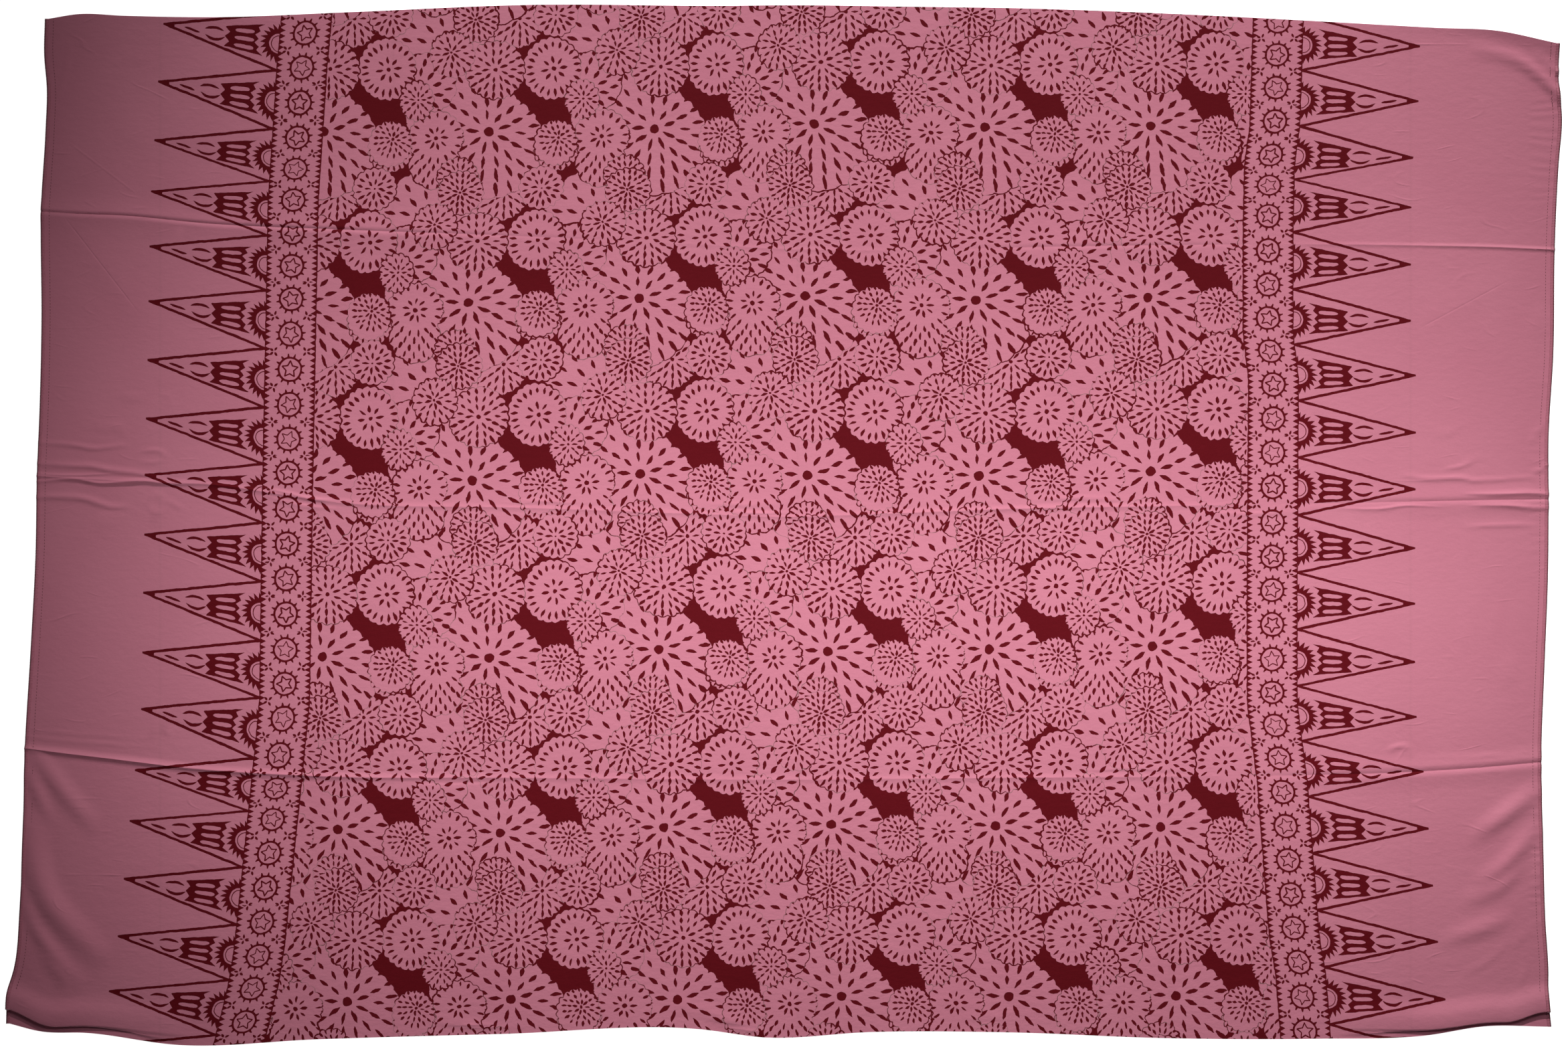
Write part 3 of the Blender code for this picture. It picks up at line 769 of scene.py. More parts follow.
class Paint:
    """The nodes of one material."""

    def __init__(self, name):
        self.material = bpy.data.materials.new(name)
        self.material.use_nodes = True
        self.tree = self.material.node_tree
        self.shader = self.tree.nodes["Principled BSDF"]

    def node(self, kind, settings, inputs):
        """A node of that type, with its settings made first and then its sockets filled or linked."""
        made = self.tree.nodes.new(kind)
        for name, value in settings.items():
            setattr(made, name, value)
        for name, value in inputs.items():
            self.fill(made.inputs[name], value)
        return made

    def fill(self, socket, value):
        """Gives a socket a number, a colour or a link."""
        if isinstance(value, Value):
            self.tree.links.new(value.socket, socket)
        elif isinstance(value, bpy.types.NodeSocket):
            self.tree.links.new(value, socket)
        else:
            socket.default_value = value

    def surface(self, name, value):
        """Gives one of the shader's own sockets a number, a colour or a link."""
        self.fill(self.shader.inputs[name], value)

    def math(self, operation, *values):
        """One Math node."""
        made = self.node("ShaderNodeMath", {"operation": operation}, dict(enumerate(values)))
        return Value(self, made.outputs[0])

    def vector(self, operation, *values):
        """One Vector Math node that gives a vector."""
        made = self.node("ShaderNodeVectorMath", {"operation": operation}, dict(enumerate(values)))
        return made.outputs[0]

    def length(self, vector):
        made = self.node("ShaderNodeVectorMath", {"operation": "LENGTH"}, {0: vector})
        return Value(self, made.outputs["Value"])

    def along(self, vector, direction):
        """How far a vector reaches in that direction."""
        made = self.node("ShaderNodeVectorMath", {"operation": "DOT_PRODUCT"}, {0: vector, 1: direction})
        return Value(self, made.outputs["Value"])

    def parts(self, vector):
        """The three numbers of a vector."""
        made = self.node("ShaderNodeSeparateXYZ", {}, {0: vector})
        return [Value(self, socket) for socket in made.outputs]

    def joined(self, x, y, z=0.0):
        """A vector of three numbers."""
        return self.node("ShaderNodeCombineXYZ", {}, {0: x, 1: y, 2: z}).outputs[0]

    def blend(self, factor, first, second):
        """A mix of two vectors."""
        made = self.node("ShaderNodeMix", {"data_type": "VECTOR"}, {0: factor, 4: first, 5: second})
        return made.outputs[1]

    def colour(self, factor, first, second):
        """A mix of two colours."""
        made = self.node("ShaderNodeMix", {"data_type": "RGBA"}, {0: factor, 6: first, 7: second})
        return made.outputs[2]

    def table(self, share, rows):
        """The row of three numbers that a share from 0 to 1 falls in, each from 0 to 1."""
        made = self.node("ShaderNodeValToRGB", {}, {0: share})
        ramp = made.color_ramp
        ramp.interpolation = "CONSTANT"
        while len(ramp.elements) < len(rows):
            ramp.elements.new(0.5)
        for i, row in enumerate(rows):
            ramp.elements[i].position = i / len(rows)
            ramp.elements[i].color = (*row, 1.0)
        return self.parts(made.outputs[0])

    def chance(self, seed):
        """A number from 0 to 1 that looks random, the same for the same seed."""
        made = self.node("ShaderNodeTexWhiteNoise", {"noise_dimensions": "1D"}, {"W": seed})
        return Value(self, made.outputs["Value"])

    def noise(self, vector, scale, detail=2.0, rough=0.5, colour=False):
        """Soft cloudy noise, as one number or as three."""
        settings = {"noise_dimensions": "3D"}
        inputs = {"Vector": vector, "Scale": scale, "Detail": detail, "Roughness": rough}
        made = self.node("ShaderNodeTexNoise", settings, inputs)
        return made.outputs["Color"] if colour else Value(self, made.outputs["Fac"])

    def uv(self, name):
        """The piece's own map of that name."""
        return self.node("ShaderNodeUVMap", {"uv_map": name}, {}).outputs[0]

    def object_place(self):
        return self.node("ShaderNodeTexCoord", {}, {}).outputs["Object"]

    def largest(self, first, *others):
        for other in others:
            first = self.math("MAXIMUM", first, other)
        return first

    def held(self, value):
        """The value, held from 0 to 1."""
        return self.math("MINIMUM", self.largest(value, 0.0), 1.0)

    def below(self, value, limit):
        return self.math("LESS_THAN", value, limit)

    def above(self, value, limit):
        return self.math("GREATER_THAN", value, limit)

    def size(self, value):
        return self.math("ABSOLUTE", value)

    def between(self, value, low, high):
        """1 where the value lies from low to high."""
        return self.math("COMPARE", value, (low + high) / 2, (high - low) / 2)

    def cell(self, value):
        """How far a value is from the middle of its whole step, from -0.5 to 0.5."""
        return self.math("FRACT", value) - 0.5


def flower_at(paint, place, flower, share):
    """A flower's offset from its middle, with its share in z, and how far inside its outline."""
    width, height = BLOCK
    low = (flower.x - width / 2, flower.y - height / 2, -1.0)
    high = (flower.x + width / 2, flower.y + height / 2, 1.0)
    offset = paint.vector("SUBTRACT", paint.vector("WRAP", place, high, low), (flower.x, flower.y, -share))
    inside = None
    for disc in flower.discs:
        middle = (flower.x - disc.x, (flower.y - disc.y) / disc.tall, 0.0)
        spot = paint.vector("MULTIPLY_ADD", offset, (1.0, 1 / disc.tall, 0.0), middle)
        depth = disc.radius - paint.length(spot)
        inside = depth if inside is None else paint.largest(inside, depth)
    across, down, _ = paint.parts(spot if len(flower.discs) == 1 else offset)
    angle = paint.math("ARCTAN2", down, across)
    scallop = paint.size(paint.math("SINE", angle * (flower.scallops / 2) + flower.x))
    return offset, inside + scallop * SCALLOP_DEEP - SCALLOP_IN


def flowers(paint, places, thin):
    """The block's outlines and bare ground, and each point's offset from the flower in front."""
    ink = 1.0
    front = (0.0, 0.0, 0.0)
    faint = paint.math("MINIMUM", thin * OUTLINE_CHANGE + OUTLINE_LEAST, 1.0)
    for number, flower in enumerate(FLOWERS):
        offset, depth = flower_at(paint, places[flower.y > LOWER], flower, (number + 0.5) / len(FLOWERS))
        near = paint.above(depth, thin * -LINE) * faint
        within = paint.above(depth, thin * LINE)
        ink = paint.largest(near, ink) - within
        front = paint.blend(within, front, offset)
    return ink, front


def looked_up(paint, share, *names):
    """The named columns of the flower table, for the flower of that share."""
    rows = [[getattr(flower, name) / TABLE_UNIT for name in names] for flower in FLOWERS]
    return [value * TABLE_UNIT for value in paint.table(share, rows)]


def polar(paint, across, down):
    """How far a point is from the middle, and its angle in whole turns."""
    away = paint.math("SQRT", across * across + down * down)
    return away, paint.math("ARCTAN2", down, across) / TURN


def from_ray(paint, away, angle, count, turned):
    """How far a point lies aside from the nearest of the rays that stand evenly round the middle."""
    return paint.size(paint.cell(angle * count + turned)) * away * (TURN / count)


def rays(paint, away, angle, ray, turned):
    """1 on the rays that stand evenly round the middle."""
    aside = from_ray(paint, away, angle, ray.count, turned)
    return paint.below(aside, ray.wide - (away - ray.middle) * ray.taper)


def carved_marks(paint, front):
    """1 on a flower's rings of leaf shaped marks and its middle dot."""
    across, down, share = paint.parts(front)
    first, step, count = looked_up(paint, share, "first", "step", "count")
    more, long, wide = looked_up(paint, share, "more", "long", "wide")
    dot, gap, last = looked_up(paint, share, "dot", "gap", "last")
    away, angle = polar(paint, across, down)
    ring = paint.largest(paint.math("ROUND", (away - first) / step), 0.0)
    ring = paint.math("MINIMUM", ring, last)
    number = paint.math("ROUND", count + ring * more)
    turn = angle * number + ring * RING_TURN + share * FLOWER_TURN
    mark = paint.math("FLOOR", turn)
    side = (turn - mark - 0.5) / number * TURN * away
    chance = paint.chance(ring * RING_SEED + mark + share * FLOWER_SEED)
    reach = long * (chance * REACH_CHANCE + REACH) * (down * LOWER_LONGER + 1.0)
    slip = (away - first - ring * step + chance * SLIP_CHANCE - SLIP_CHANCE / 2) / reach
    lens = wide * (chance * WIDE_CHANCE + WIDE) * (1.0 - slip * slip)
    leaf = paint.below(paint.size(side), lens) - paint.between(ring, gap - 0.5, gap + 0.5)
    return paint.largest(leaf, paint.below(away, dot))


def field(paint, print_place, warp, thin):
    """The field's blocks: each row of them starts a little further along."""
    column, row, _ = paint.parts(print_place)
    shares = [(0.5 + shift, 0.0, 0.0) for shift in (BLOCK_SHIFTS[0], *BLOCK_SHIFTS, BLOCK_SHIFTS[-1])]
    places = []
    for row_end in ROW_ENDS:
        line = paint.math("FLOOR", row + (1.0 - row_end))
        shift = paint.table((line + 1.5) / len(shares), shares)[0] - 0.5
        place = paint.joined((column - shift) * BLOCK[0], row * BLOCK[1])
        places.append(paint.vector("ADD", place, warp))
    ink, front = flowers(paint, places, thin)
    return paint.largest(ink, carved_marks(paint, front))


def ring_of(paint, away, radius, half_width):
    return paint.between(away, radius - half_width, radius + half_width)


def band(paint, inward, circles):
    """The band of circles between two toothed lines."""
    outer, inner = BAND_LINES
    ink = paint.largest(paint.below(paint.size(inward), outer), paint.below(paint.size(inward - BAND), inner))
    tooth = paint.size(paint.cell(circles * TEETH)) * 2.0
    from_line = (BAND / 2) - paint.size(inward - BAND / 2)
    ink = paint.largest(ink, paint.below(from_line, TOOTH_LONG - tooth * TOOTH_TAPER))
    across = inward - BAND / 2
    down = paint.cell(circles) * CIRCLE
    away, angle = polar(paint, across, down)
    number = paint.math("FLOOR", circles)
    tick = rays(paint, away, angle, TICK, number * TICK_TURN)
    tick = tick * paint.between(away, TICK_FROM, TICK_UNTIL)
    point = paint.size(paint.cell(angle * STAR_POINTS + number * STAR_TURN)) * (TURN / STAR_POINTS)
    along = away * paint.math("COSINE", point)
    aside = away * paint.math("SINE", point)
    star = paint.size(along * STAR_SLOPE + aside - STAR_IN)
    star = paint.below(star, paint.chance(number) * STAR_LINE_CHANCE + STAR_LINE)
    star = star * paint.below(away, STAR_REACH)
    ink = paint.largest(ink, ring_of(paint, away, *CIRCLE_RING), tick, star)
    away, angle = polar(paint, paint.size(across) - PETAL_ASIDE, paint.cell(circles + 0.5) * CIRCLE)
    petal = from_ray(paint, away, angle, PETALS, number * PETAL_TURN)
    slip = (away - PETAL_MIDDLE) / PETAL_REACH
    return paint.largest(ink, paint.below(petal, PETAL_WIDE - slip * slip * PETAL_WIDE))


def drawn_stroke(paint, along, across, stroke):
    """A brush stroke from low to high, thickest halfway."""
    slide = along - stroke.middle
    line = across - stroke.aside - slide * (slide * stroke.bow + stroke.lean)
    slip = (along - (stroke.low + stroke.high) / 2) * (2 / (stroke.high - stroke.low))
    slip = slip * slip
    return paint.below(paint.size(line), (1.0 - slip * slip) * stroke.thick)


def triangles(paint, inward, place, lean):
    """The row of long triangles, with what is drawn inside each."""
    along = inward + TRIANGLE_LONG
    share = along / TRIANGLE_LONG
    across = paint.cell(place + 0.5 - lean * share) * TRIANGLE
    half = share * (TRIANGLE / 2)
    ink = paint.below(paint.size(paint.size(across) - half), TRIANGLE_LINE) * paint.above(along, -PAST_TIP)
    tip = paint.between(along, 0.0, TRIANGLE_TIP) * paint.below(paint.size(across), half)
    strokes = [drawn_stroke(paint, along, across, stroke) for stroke in STROKES]
    ink = paint.largest(ink, tip, *strokes, crown(paint, along, across), half_sun(paint, along, across))
    return ink * paint.below(inward, 0.0)


def pointed(paint, across, points):
    """How far a side with a row of points steps back from their tips."""
    return paint.size(paint.cell((across + points.aside) / points.pitch + 0.5)) * points.deep


def crown(paint, along, across):
    """The block with three slots, pointed on both its short sides."""
    near = pointed(paint, across, NEAR_POINTS)
    far = pointed(paint, across, FAR_POINTS)
    hollow = (across - HOLLOW_ASIDE) / HOLLOW_HALF
    far_side = CROWN_UNTIL - far + hollow * hollow * HOLLOW_DEEP
    body = paint.above(along, CROWN_FROM + near) * paint.below(along, far_side)
    upper, lower = ((along - CROWN_FROM) * grows + side for side, grows in zip(CROWN_SIDES, CROWN_WIDENS))
    body = body * paint.above(across, upper) * paint.below(across, lower)
    fan = (across - FAN_ASIDE) / ((along - FAN_FROM) * FAN_GROWS + 1.0)
    slot = paint.cell(fan / SLOT + 0.5) * SLOT
    end = (along - SLOT_MIDDLE) / SLOT_HALF
    end = end * end
    inner = paint.below(paint.size(fan), SLOTS_REACH) * paint.below(slot * slot / SLOT_BULGE + end * end, 1.0)
    return paint.math("MAXIMUM", body - inner, 0.0)


def half_sun(paint, along, across):
    """Half a sun standing on the band, with curved flames."""
    away, angle = polar(paint, along - TRIANGLE_LONG, across - SUN_ASIDE)
    flame = rays(paint, away, angle, FLAME, away * FLAME_BEND) * paint.above(away, FLAME_FROM)
    return paint.largest(*(ring_of(paint, away, *ring) for ring in SUN_RINGS), flame)


def printed_ink(paint):
    """1 where the cloth is dyed dark, over the field, the bands and the triangles."""
    place = paint.uv("blocks")
    inward, triangle, _ = paint.parts(paint.uv("borders"))
    inward = inward / MM
    here = paint.vector("MULTIPLY", paint.object_place(), (1 / MM, -1 / MM, 0.0))
    cloud = paint.noise(here, WARP_SCALE, 2.0, 0.5, True)
    warp = paint.vector("MULTIPLY_ADD", cloud, (WARP, WARP, 0.0), (-WARP / 2, -WARP / 2, 0.0))
    warp_x, warp_y, _ = paint.parts(warp)
    fine = paint.noise(here, THIN_SCALE, 2.0)
    thin = paint.largest((fine - 0.5) * THIN_CHANGE + THIN_MEAN, THIN_LEAST)
    ink = field(paint, place, warp, thin)
    across_here, _, _ = paint.parts(here)
    right = paint.above(across_here, 0.0)
    inward = inward + warp_x * BORDER_WARP
    triangle = triangle + warp_y * (BORDER_WARP / TRIANGLE)
    lean = right * (LEAN_RIGHT - LEAN_LEFT) + LEAN_LEFT
    edge = triangles(paint, inward, triangle, lean)
    ring = band(paint, inward, triangle * CIRCLES_EACH + CIRCLES_FROM)
    in_band = paint.between(inward, BAND_FROM, BAND_UNTIL)
    in_field = paint.above(inward, BAND_UNTIL)
    return paint.largest(ink * in_field, ring * in_band, edge * (1.0 - in_band) * (1.0 - in_field))


def press_lines(paint, place):
    """1 along the lines pressed across the cloth, which are painted darker as partly wear and partly painted
    shade, falling to 0 on both sides.
    """
    x, _, _ = paint.parts(place)
    nearest = 1.0
    for line in PRESS_LINES:
        nearest = paint.math("MINIMUM", nearest, paint.size(x - line))
    return paint.largest(1.0 - nearest / PRESS_HALF, 0.0)


def fine_wrinkles(paint, place):
    """Thin wrinkles, too small for the mesh: drawn ones, scattered ones near both ends, and puckers."""
    height = 0.0
    for crease in FINE_CREASES:
        start = np.array([crease.x0 * MM - MIDDLE[0], -crease.y0 * MM - MIDDLE[1]])
        end = np.array([crease.x1 * MM - MIDDLE[0], -crease.y1 * MM - MIDDLE[1]])
        half = float(np.hypot(*(end - start))) / 2
        run = (end - start) / (2 * half)
        middle = (start + end) / 2
        away = paint.vector("SUBTRACT", place, (float(middle[0]), float(middle[1]), 0.0))
        across = paint.size(paint.along(away, (float(-run[1]), float(run[0]), 0.0)))
        along = paint.size(paint.along(away, (float(run[0]), float(run[1]), 0.0)))
        ridge = paint.largest(1.0 - across / (crease.half_width * MM), 0.0) * crease.height
        fade = paint.held(FINE_FADE - along * (FINE_FADE / half))
        height = ridge * fade + height
    x, y, _ = paint.parts(place)
    bend = paint.noise(paint.vector("MULTIPLY", place, WRINKLE_RUN), WRINKLE_SCALE, 0.0)
    scatter = paint.largest(1.0 - paint.size(bend - 0.5) * WRINKLE_THIN, 0.0)
    where = paint.noise(place, WRINKLE_SCALE, 0.0) * PATCH_GAIN - PATCH_LEAST
    where = paint.largest(where, 0.0)
    near_end = paint.held(paint.size(x) * ENDS_GAIN - WRINKLED_ENDS * ENDS_GAIN)
    height = scatter * where * near_end + height
    pucker = paint.math("SINE", y * (TURN / PUCKER_PITCH) + bend * PUCKER_BEND)
    strip = paint.largest(x * PUCKER_GAIN - PUCKER_START, 0.0)
    strip = paint.math("MINIMUM", strip, PUCKER_MOST)
    gathered = paint.largest(paint.math("SINE", y * GROUP_TURN + GROUP_START), 0.0)
    return pucker * strip * gathered + height


def cloth_finish():
    """Pink rayon with its dark print, a fine weave and a soft sheen."""
    paint = Paint("printed rayon")
    place = paint.object_place()
    ink = printed_ink(paint)
    cloud = paint.noise(place, CLOUD_SCALE, 3.0)
    fleck = paint.noise(place, FLECK_SCALE, 1.0)
    pink = paint.colour(cloud * CLOUD_SHARE + fleck * (1.0 - CLOUD_SHARE), PINK, PINK_PALE)
    # The pressed lines are painted darker: partly wear, partly painted shade of their creases.
    press_wear_and_shade = press_lines(paint, place)
    pink = paint.colour(press_wear_and_shade * PRESS_WEAR_AND_SHADE, pink, FAINT)
    maroon = paint.colour(cloud * fleck, MAROON, MAROON_WORN)
    reverse = paint.node("ShaderNodeAttribute", {"attribute_name": "reverse"}, {}).outputs["Fac"]
    faded = paint.colour(Value(paint, reverse) * REVERSE_FADE, maroon, pink)
    half = paint.math("MINIMUM", ink * 2.0, 1.0)
    rest = paint.largest(ink * 2.0 - 1.0, 0.0)
    lines = paint.colour(half, pink, FAINT)
    paint.surface("Base Color", paint.colour(rest, lines, faded))
    paint.surface("Roughness", ink * ROUGH_INK + cloud * ROUGH_CLOUD + ROUGH)
    x, y, _ = paint.parts(place)
    around = TURN / THREAD_PITCH
    threads = paint.math("SINE", x * around) * paint.math("SINE", y * around)
    crumple = paint.vector("MULTIPLY", place, CRUMPLE_RUN)
    crumple = paint.noise(crumple, CRUMPLE_SCALE, 2.0, CRUMPLE_ROUGH)
    height = threads * THREAD_RISE + crumple * CRUMPLE_RISE + fine_wrinkles(paint, place)
    made = paint.node("ShaderNodeBump", {}, {"Strength": 0.35, "Distance": BUMP_DEEP, "Height": height})
    paint.surface("Normal", made.outputs[0])
    paint.surface("Sheen Weight", 0.02)
    paint.surface("Sheen Roughness", 0.5)
    paint.surface("Specular IOR Level", 0.12)
    return paint.material


def thread_finish(name, colour, worn, scale, outer=None):
    """Twisted sewing thread; that of the hem has a darker outer side, partly dark thread and partly painted
    shade.
    """
    paint = Paint(name)
    place = paint.object_place()
    cloud = paint.noise(place, scale, 2.0)
    base = paint.colour(cloud, colour, worn)
    if outer:
        # The hem's outer side is painted darker: partly its dark red thread, partly painted shade.
        around = paint.parts(paint.uv("UVMap"))[0]
        dark_and_shaded = paint.above(paint.math("COSINE", around * TURN), SHADED_OUTER_SIDE)
        base = paint.colour(dark_and_shaded, base, outer)
    paint.surface("Base Color", base)
    paint.surface("Roughness", cloud * THREAD_ROUGH_CLOUD + THREAD_ROUGH)
    fibres = paint.noise(paint.vector("MULTIPLY", place, FIBRE_RUN), FIBRE_SCALE, 1.0)
    made = paint.node("ShaderNodeBump", {}, {"Strength": 0.4, "Distance": 0.0002, "Height": fibres})
    paint.surface("Normal", made.outputs[0])
    paint.surface("Sheen Weight", 0.2)
    return paint.material


def deselect_all():
    bpy.ops.object.select_all(action="DESELECT")


def only(piece):
    """Selects that piece alone and makes it the active one."""
    deselect_all()
    piece.select_set(True)
    bpy.context.view_layer.objects.active = piece


def read_corners(mesh):
    """The vertex at each corner of each face, in order."""
    corners = np.empty(len(mesh.loops), dtype=np.int32)
    mesh.loops.foreach_get("vertex_index", corners)
    return corners


def add_map(mesh, name, across, up):
    """A UV map from two numbers for each vertex."""
    corners = read_corners(mesh)
    layer = mesh.uv_layers.new(name=name)
    layer.data.foreach_set("uv", np.stack([across[corners], up[corners]], axis=1).astype(np.float32).ravel())


def grid_piece(name, points):
    """A grid of quads with its vertices set at the points, facing up; and each vertex's row and column."""
    rows, columns = points.shape[:2]
    deselect_all()
    bpy.ops.mesh.primitive_grid_add(x_subdivisions=columns - 1, y_subdivisions=rows - 1, size=2.0)
    piece = bpy.context.object
    piece.name = piece.data.name = name
    spots = np.empty(len(piece.data.vertices) * 3)
    piece.data.vertices.foreach_get("co", spots)
    spots = spots.reshape(-1, 3)
    column = np.rint((spots[:, 0] + 1) / 2 * (columns - 1)).astype(int)
    row = np.rint((1 - spots[:, 1]) / 2 * (rows - 1)).astype(int)
    piece.data.vertices.foreach_set("co", points[row, column].ravel())
    piece.data.shade_smooth()
    return piece, row, column


def add_bake_map(mesh, u, v, row, column):
    """The OFBake map: the face side large, the reverse and the rim in strips."""
    face = read_corners(mesh).reshape(-1, 4)
    count = len(row)
    second = face >= count
    base = face % count
    last_row, last_column = row.max(), column.max()
    across = u[base]
    up = np.where(second, REVERSE_STRIP[0] + v[base] * (REVERSE_STRIP[1] - REVERSE_STRIP[0]), 0.0)
    up = np.where(second, up, FACE_PART[0] + v[base] * (FACE_PART[1] - FACE_PART[0]))
    rim = second.any(axis=1) & ~second.all(axis=1)
    edges = ((row, 0), (row, last_row), (column, 0), (column, last_column))
    for number, (line, place) in enumerate(edges):
        here = rim & (line[base] == place).all(axis=1)
        low = RIM_STRIP + number * RIM_STEP
        along = u[base] if number < 2 else v[base]
        across = np.where(here[:, None], along, across)
        up = np.where(here[:, None], low + second * RIM_STEP * RIM_FILLED, up)
    layer = mesh.uv_layers.new(name="OFBake")
    layer.data.foreach_set("uv", np.stack([across, up], axis=2).astype(np.float32).ravel())


def share_of(values):
    """Each value's place between the lowest and the highest, from 0 to 1."""
    return (values - values.min()) / (values.max() - values.min())


def cloth_piece(panel, middle, finish):
    """The cloth: one thin closed shell with its print laid out on its own maps."""
    piece, row, column = grid_piece("sarong_cloth", panel - middle)
    mesh = piece.data
    while mesh.uv_layers:
        mesh.uv_layers.remove(mesh.uv_layers[0])
    across = panel[:, :, 0]
    down = print_down(panel)
    block_column, block_row = block_places(across, down)
    inward, triangle = border_places(across, down)
    add_map(mesh, "blocks", block_column[row, column], block_row[row, column])
    add_map(mesh, "borders", inward[row, column], triangle[row, column])
    mesh.materials.append(finish)
    only(piece)
    solidify = piece.modifiers.new("thickness", "SOLIDIFY")
    solidify.thickness = CLOTH
    solidify.offset = 0.0
    bpy.ops.object.modifier_apply(modifier=solidify.name)
    bpy.ops.object.shade_smooth_by_angle(angle=RIM_ANGLE)
    reverse = mesh.attributes.new("reverse", "FLOAT", "POINT")
    reverse.data.foreach_set("value", (np.arange(len(mesh.vertices)) >= len(row)).astype(np.float32))
    u = share_of(across)[row, column]
    v = 1 - share_of(down)[row, column]
    add_bake_map(mesh, u, v, row, column)
    return piece


def edit_all(piece, close=False):
    """Turns all faces outwards; a tube's seam and ends are closed before."""
    only(piece)
    bpy.ops.object.mode_set(mode="EDIT")
    bpy.ops.mesh.select_all(action="SELECT")
    if close:
        bpy.ops.mesh.remove_doubles(threshold=0.00001)
        bpy.ops.mesh.select_all(action="SELECT")
        bpy.ops.mesh.fill_holes(sides=0)
        bpy.ops.mesh.select_all(action="SELECT")
    bpy.ops.mesh.normals_make_consistent(inside=False)
    bpy.ops.object.mode_set(mode="OBJECT")


def path_along(edge, step):
    """The edge's points and face directions, spread evenly along it."""
    steps = np.diff(edge, axis=0)
    lengths = np.linalg.norm(steps, axis=1)
    places = np.concatenate([[0.0], np.cumsum(lengths)])
    runs = steps[:, 1:] / np.linalg.norm(steps[:, 1:], axis=1)[:, None]
    runs = np.concatenate([runs[:1], runs[1:] + runs[:-1], runs[-1:]])
    at = np.linspace(0.0, places[-1], int(places[-1] / step) + 1)
    points = np.stack([np.interp(at, places, edge[:, i]) for i in range(3)], axis=1)
    run = np.stack([np.interp(at, places, runs[:, i]) for i in range(2)], axis=1)
    run /= np.linalg.norm(run, axis=1)[:, None]
    up = np.stack([np.zeros(len(at)), run[:, 1], -run[:, 0]], axis=1)
    return at, points, up


def hem_piece(name, edge, outward, finish):
    """A rolled hem: a flattened tube along the end, ribbed by its slanting overlock thread."""
    at, points, up = path_along(edge, HEM_PITCH / HEM_STEPS)
    out = np.array([outward, 0.0, 0.0])
    width = HEM_WIDTH + SEAM_GAP + HEM_OVER
    middle = points + out * (width / 2 - HEM_OVER) + up * (HEM_DEEP - CLOTH) / 2
    rings = []
    for side in range(HEM_SIDES + 1):
        angle = TURN * (side % HEM_SIDES) / HEM_SIDES
        rib = HEM_RIB * np.cos(TURN * at / HEM_PITCH + angle * RIB_SLANT)
        wide = (width / 2 - HEM_RIB + rib) * math.cos(angle)
        deep = (HEM_DEEP / 2 - HEM_RIB + rib) * math.sin(angle)
        rings.append(middle + out * wide[:, None] + up * deep[:, None])
    piece, _, _ = grid_piece(name, np.stack(rings, axis=1))
    edit_all(piece, close=True)
    piece.data.materials.append(finish)
    return piece


def stitches_piece(name, line, finish):
    """The row of stitches that holds the hem, each a short thread half sunk in the cloth."""
    at, points, up = path_along(line, STITCH_PITCH)
    deselect_all()
    bpy.ops.mesh.primitive_uv_sphere_add(segments=6, ring_count=4, radius=1.0)
    piece = bpy.context.object
    piece.name = piece.data.name = name
    mesh = piece.data
    shape = np.array([v.co[:] for v in mesh.vertices]) * (STITCH_WIDE, STITCH_LONG / 2, STITCH_WIDE)
    faces = [tuple(f.vertices) for f in mesh.polygons]
    run = np.stack([np.zeros(len(at)), -up[:, 2], up[:, 1]], axis=1)
    side = np.array([1.0, 0.0, 0.0])
    spots = []
    for point, above, forward in zip(points, up, run):
        turned = shape[:, :1] * side + shape[:, 1:2] * forward + shape[:, 2:] * above
        spots.append(point + above * CLOTH * STITCH_SUNK + turned)
    count = len(shape)
    copies = [tuple(i + count * k for i in face) for k in range(len(spots)) for face in faces]
    mesh.clear_geometry()
    mesh.from_pydata(np.concatenate(spots).tolist(), [], copies)
    mesh.shade_smooth()
    mesh.materials.append(finish)
    edit_all(piece)
    return piece


def add_lamp(lamp):
    """A soft light that faces its aim."""
    deselect_all()
    bpy.ops.object.light_add(type=lamp.kind, location=lamp.place)
    made = bpy.context.object
    made.name = lamp.name
    made.data.energy = lamp.power
    made.data.color = LIGHT_COLOUR
    if lamp.kind == "SPOT":
        made.data.spot_size = SPOT_CONE
        made.data.spot_blend = 1.0
        made.data.shadow_soft_size = 0.10
    else:
        made.data.shape = "RECTANGLE"
        made.data.size, made.data.size_y = STRIP_LIGHT
    turn = np.array(lamp.aim) - np.array(lamp.place)
    away = math.hypot(turn[0], turn[1])
    made.rotation_euler = (math.atan2(away, -turn[2]), 0.0, math.atan2(turn[1], turn[0]) - math.pi / 2)


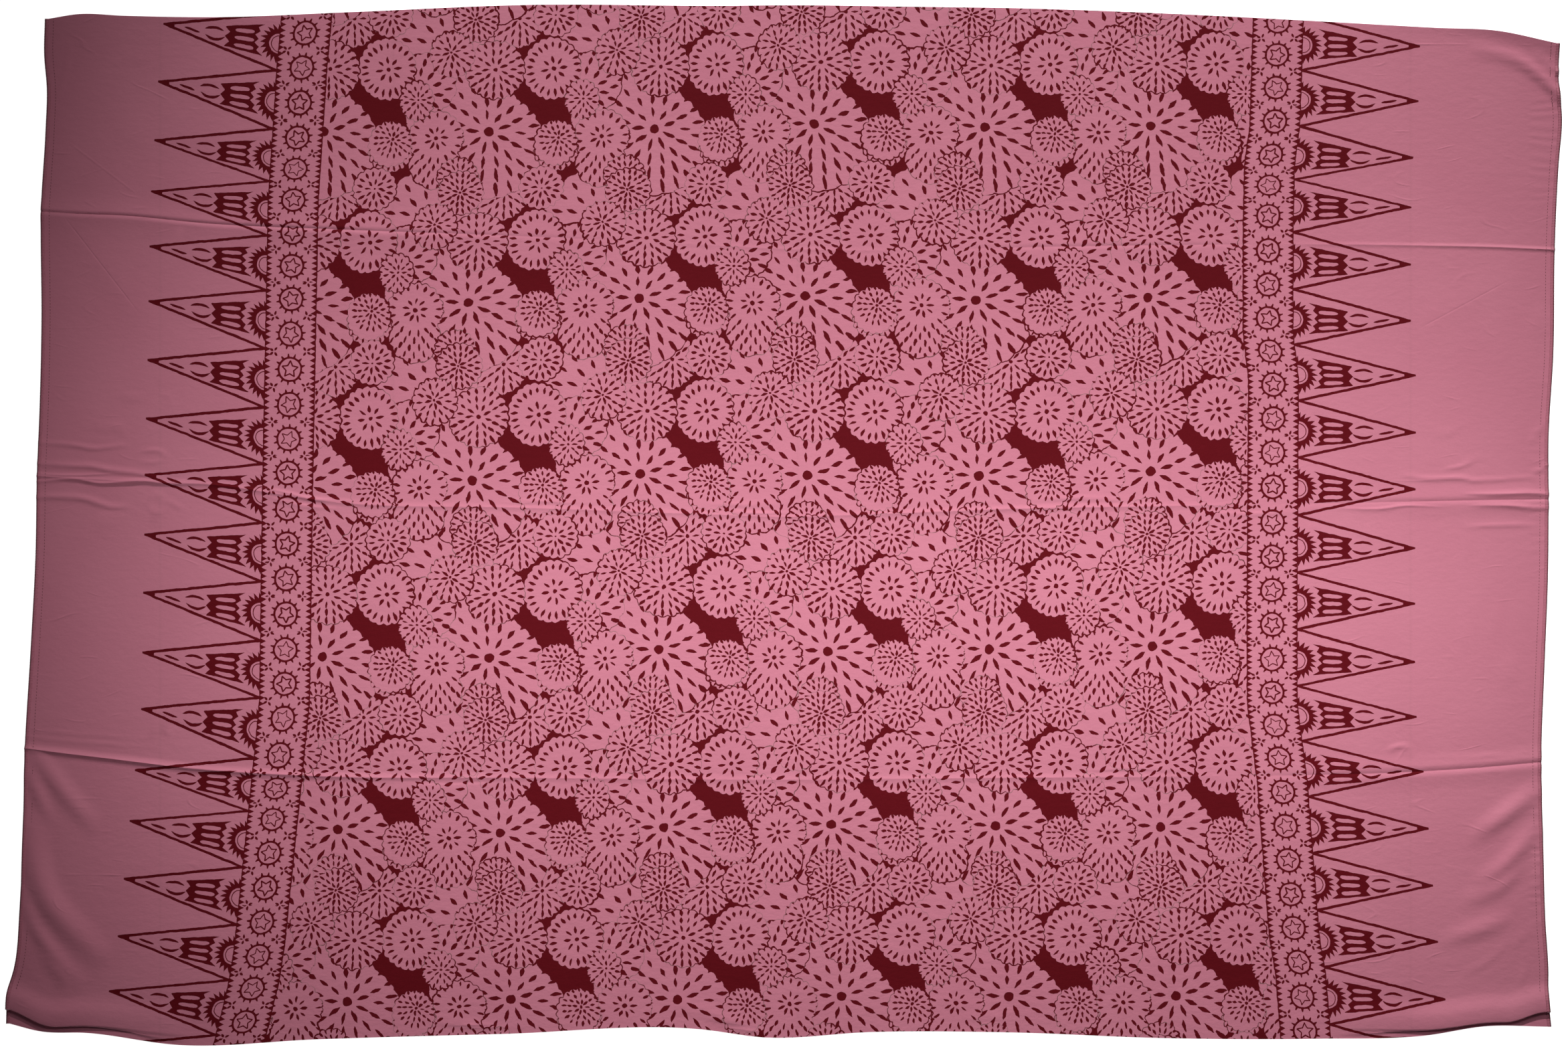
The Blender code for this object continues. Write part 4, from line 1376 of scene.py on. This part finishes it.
def studio():
    """The floor and the lights over the cloth."""
    deselect_all()
    bpy.ops.mesh.primitive_plane_add(size=FLOOR_SIZE, location=(0.0, 0.0, -FLOOR_DROP))
    floor = bpy.context.object
    floor.name = "floor"
    paint = Paint("pale floor")
    paint.surface("Base Color", FLOOR_COLOUR)
    paint.surface("Roughness", 0.9)
    paint.surface("Specular IOR Level", 0.1)
    paint.surface("Emission Color", WHITE)
    paint.surface("Emission Strength", FLOOR_GLOW)
    floor.data.materials.append(paint.material)
    for lamp in LAMPS:
        add_lamp(lamp)
    world = bpy.data.worlds.new("studio")
    world.use_nodes = True
    world.node_tree.nodes["Background"].inputs["Color"].default_value = WHITE
    world.node_tree.nodes["Background"].inputs["Strength"].default_value = ROOM_LIGHT
    bpy.context.scene.world = world
    bpy.context.scene.view_settings.view_transform = "Standard"


def camera():
    """The camera straight above, framed as the photograph is."""
    bpy.ops.object.camera_add(location=(*VIEW_MIDDLE, CAMERA_HEIGHT))
    made = bpy.context.object
    made.data.sensor_width = SENSOR
    made.data.lens = SENSOR * CAMERA_HEIGHT / VIEW_WIDTH
    bpy.context.scene.camera = made


def build():
    """Makes the whole scene."""
    camera()
    studio()
    panel = panel_points()
    panel[:, :, 2] += CLOTH / 2
    cloth = cloth_piece(panel, np.array(MIDDLE), cloth_finish())
    thread = thread_finish("overlock thread", HEM_PINK, HEM_PALE, 400.0, HEM_RED)
    sewing = thread_finish("sewing thread", THREAD_RED, HEM_RED, 300.0)
    left_edge = panel[:, 0] - MIDDLE
    right_edge = panel[:, -1] - MIDDLE
    left = hem_piece("sarong_hem_left", left_edge, -1, thread)
    right = hem_piece("sarong_hem_right", right_edge, 1, thread)
    rows = len(panel) - TUCK_ROWS + STITCHED_ROWS
    left_line = left_edge[:rows] + (STITCH_IN, 0.0, 0.0)
    right_line = right_edge[:rows] - (STITCH_IN, 0.0, 0.0)
    stitches = [
        stitches_piece("sarong_stitches_left", left_line, sewing),
        stitches_piece("sarong_stitches_right", right_line, sewing),
    ]
    for piece in (cloth, left, right, *stitches):
        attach(piece, "root")
    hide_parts("cloth_panel")
    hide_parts("left_hem")
    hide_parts("right_hem")


build()
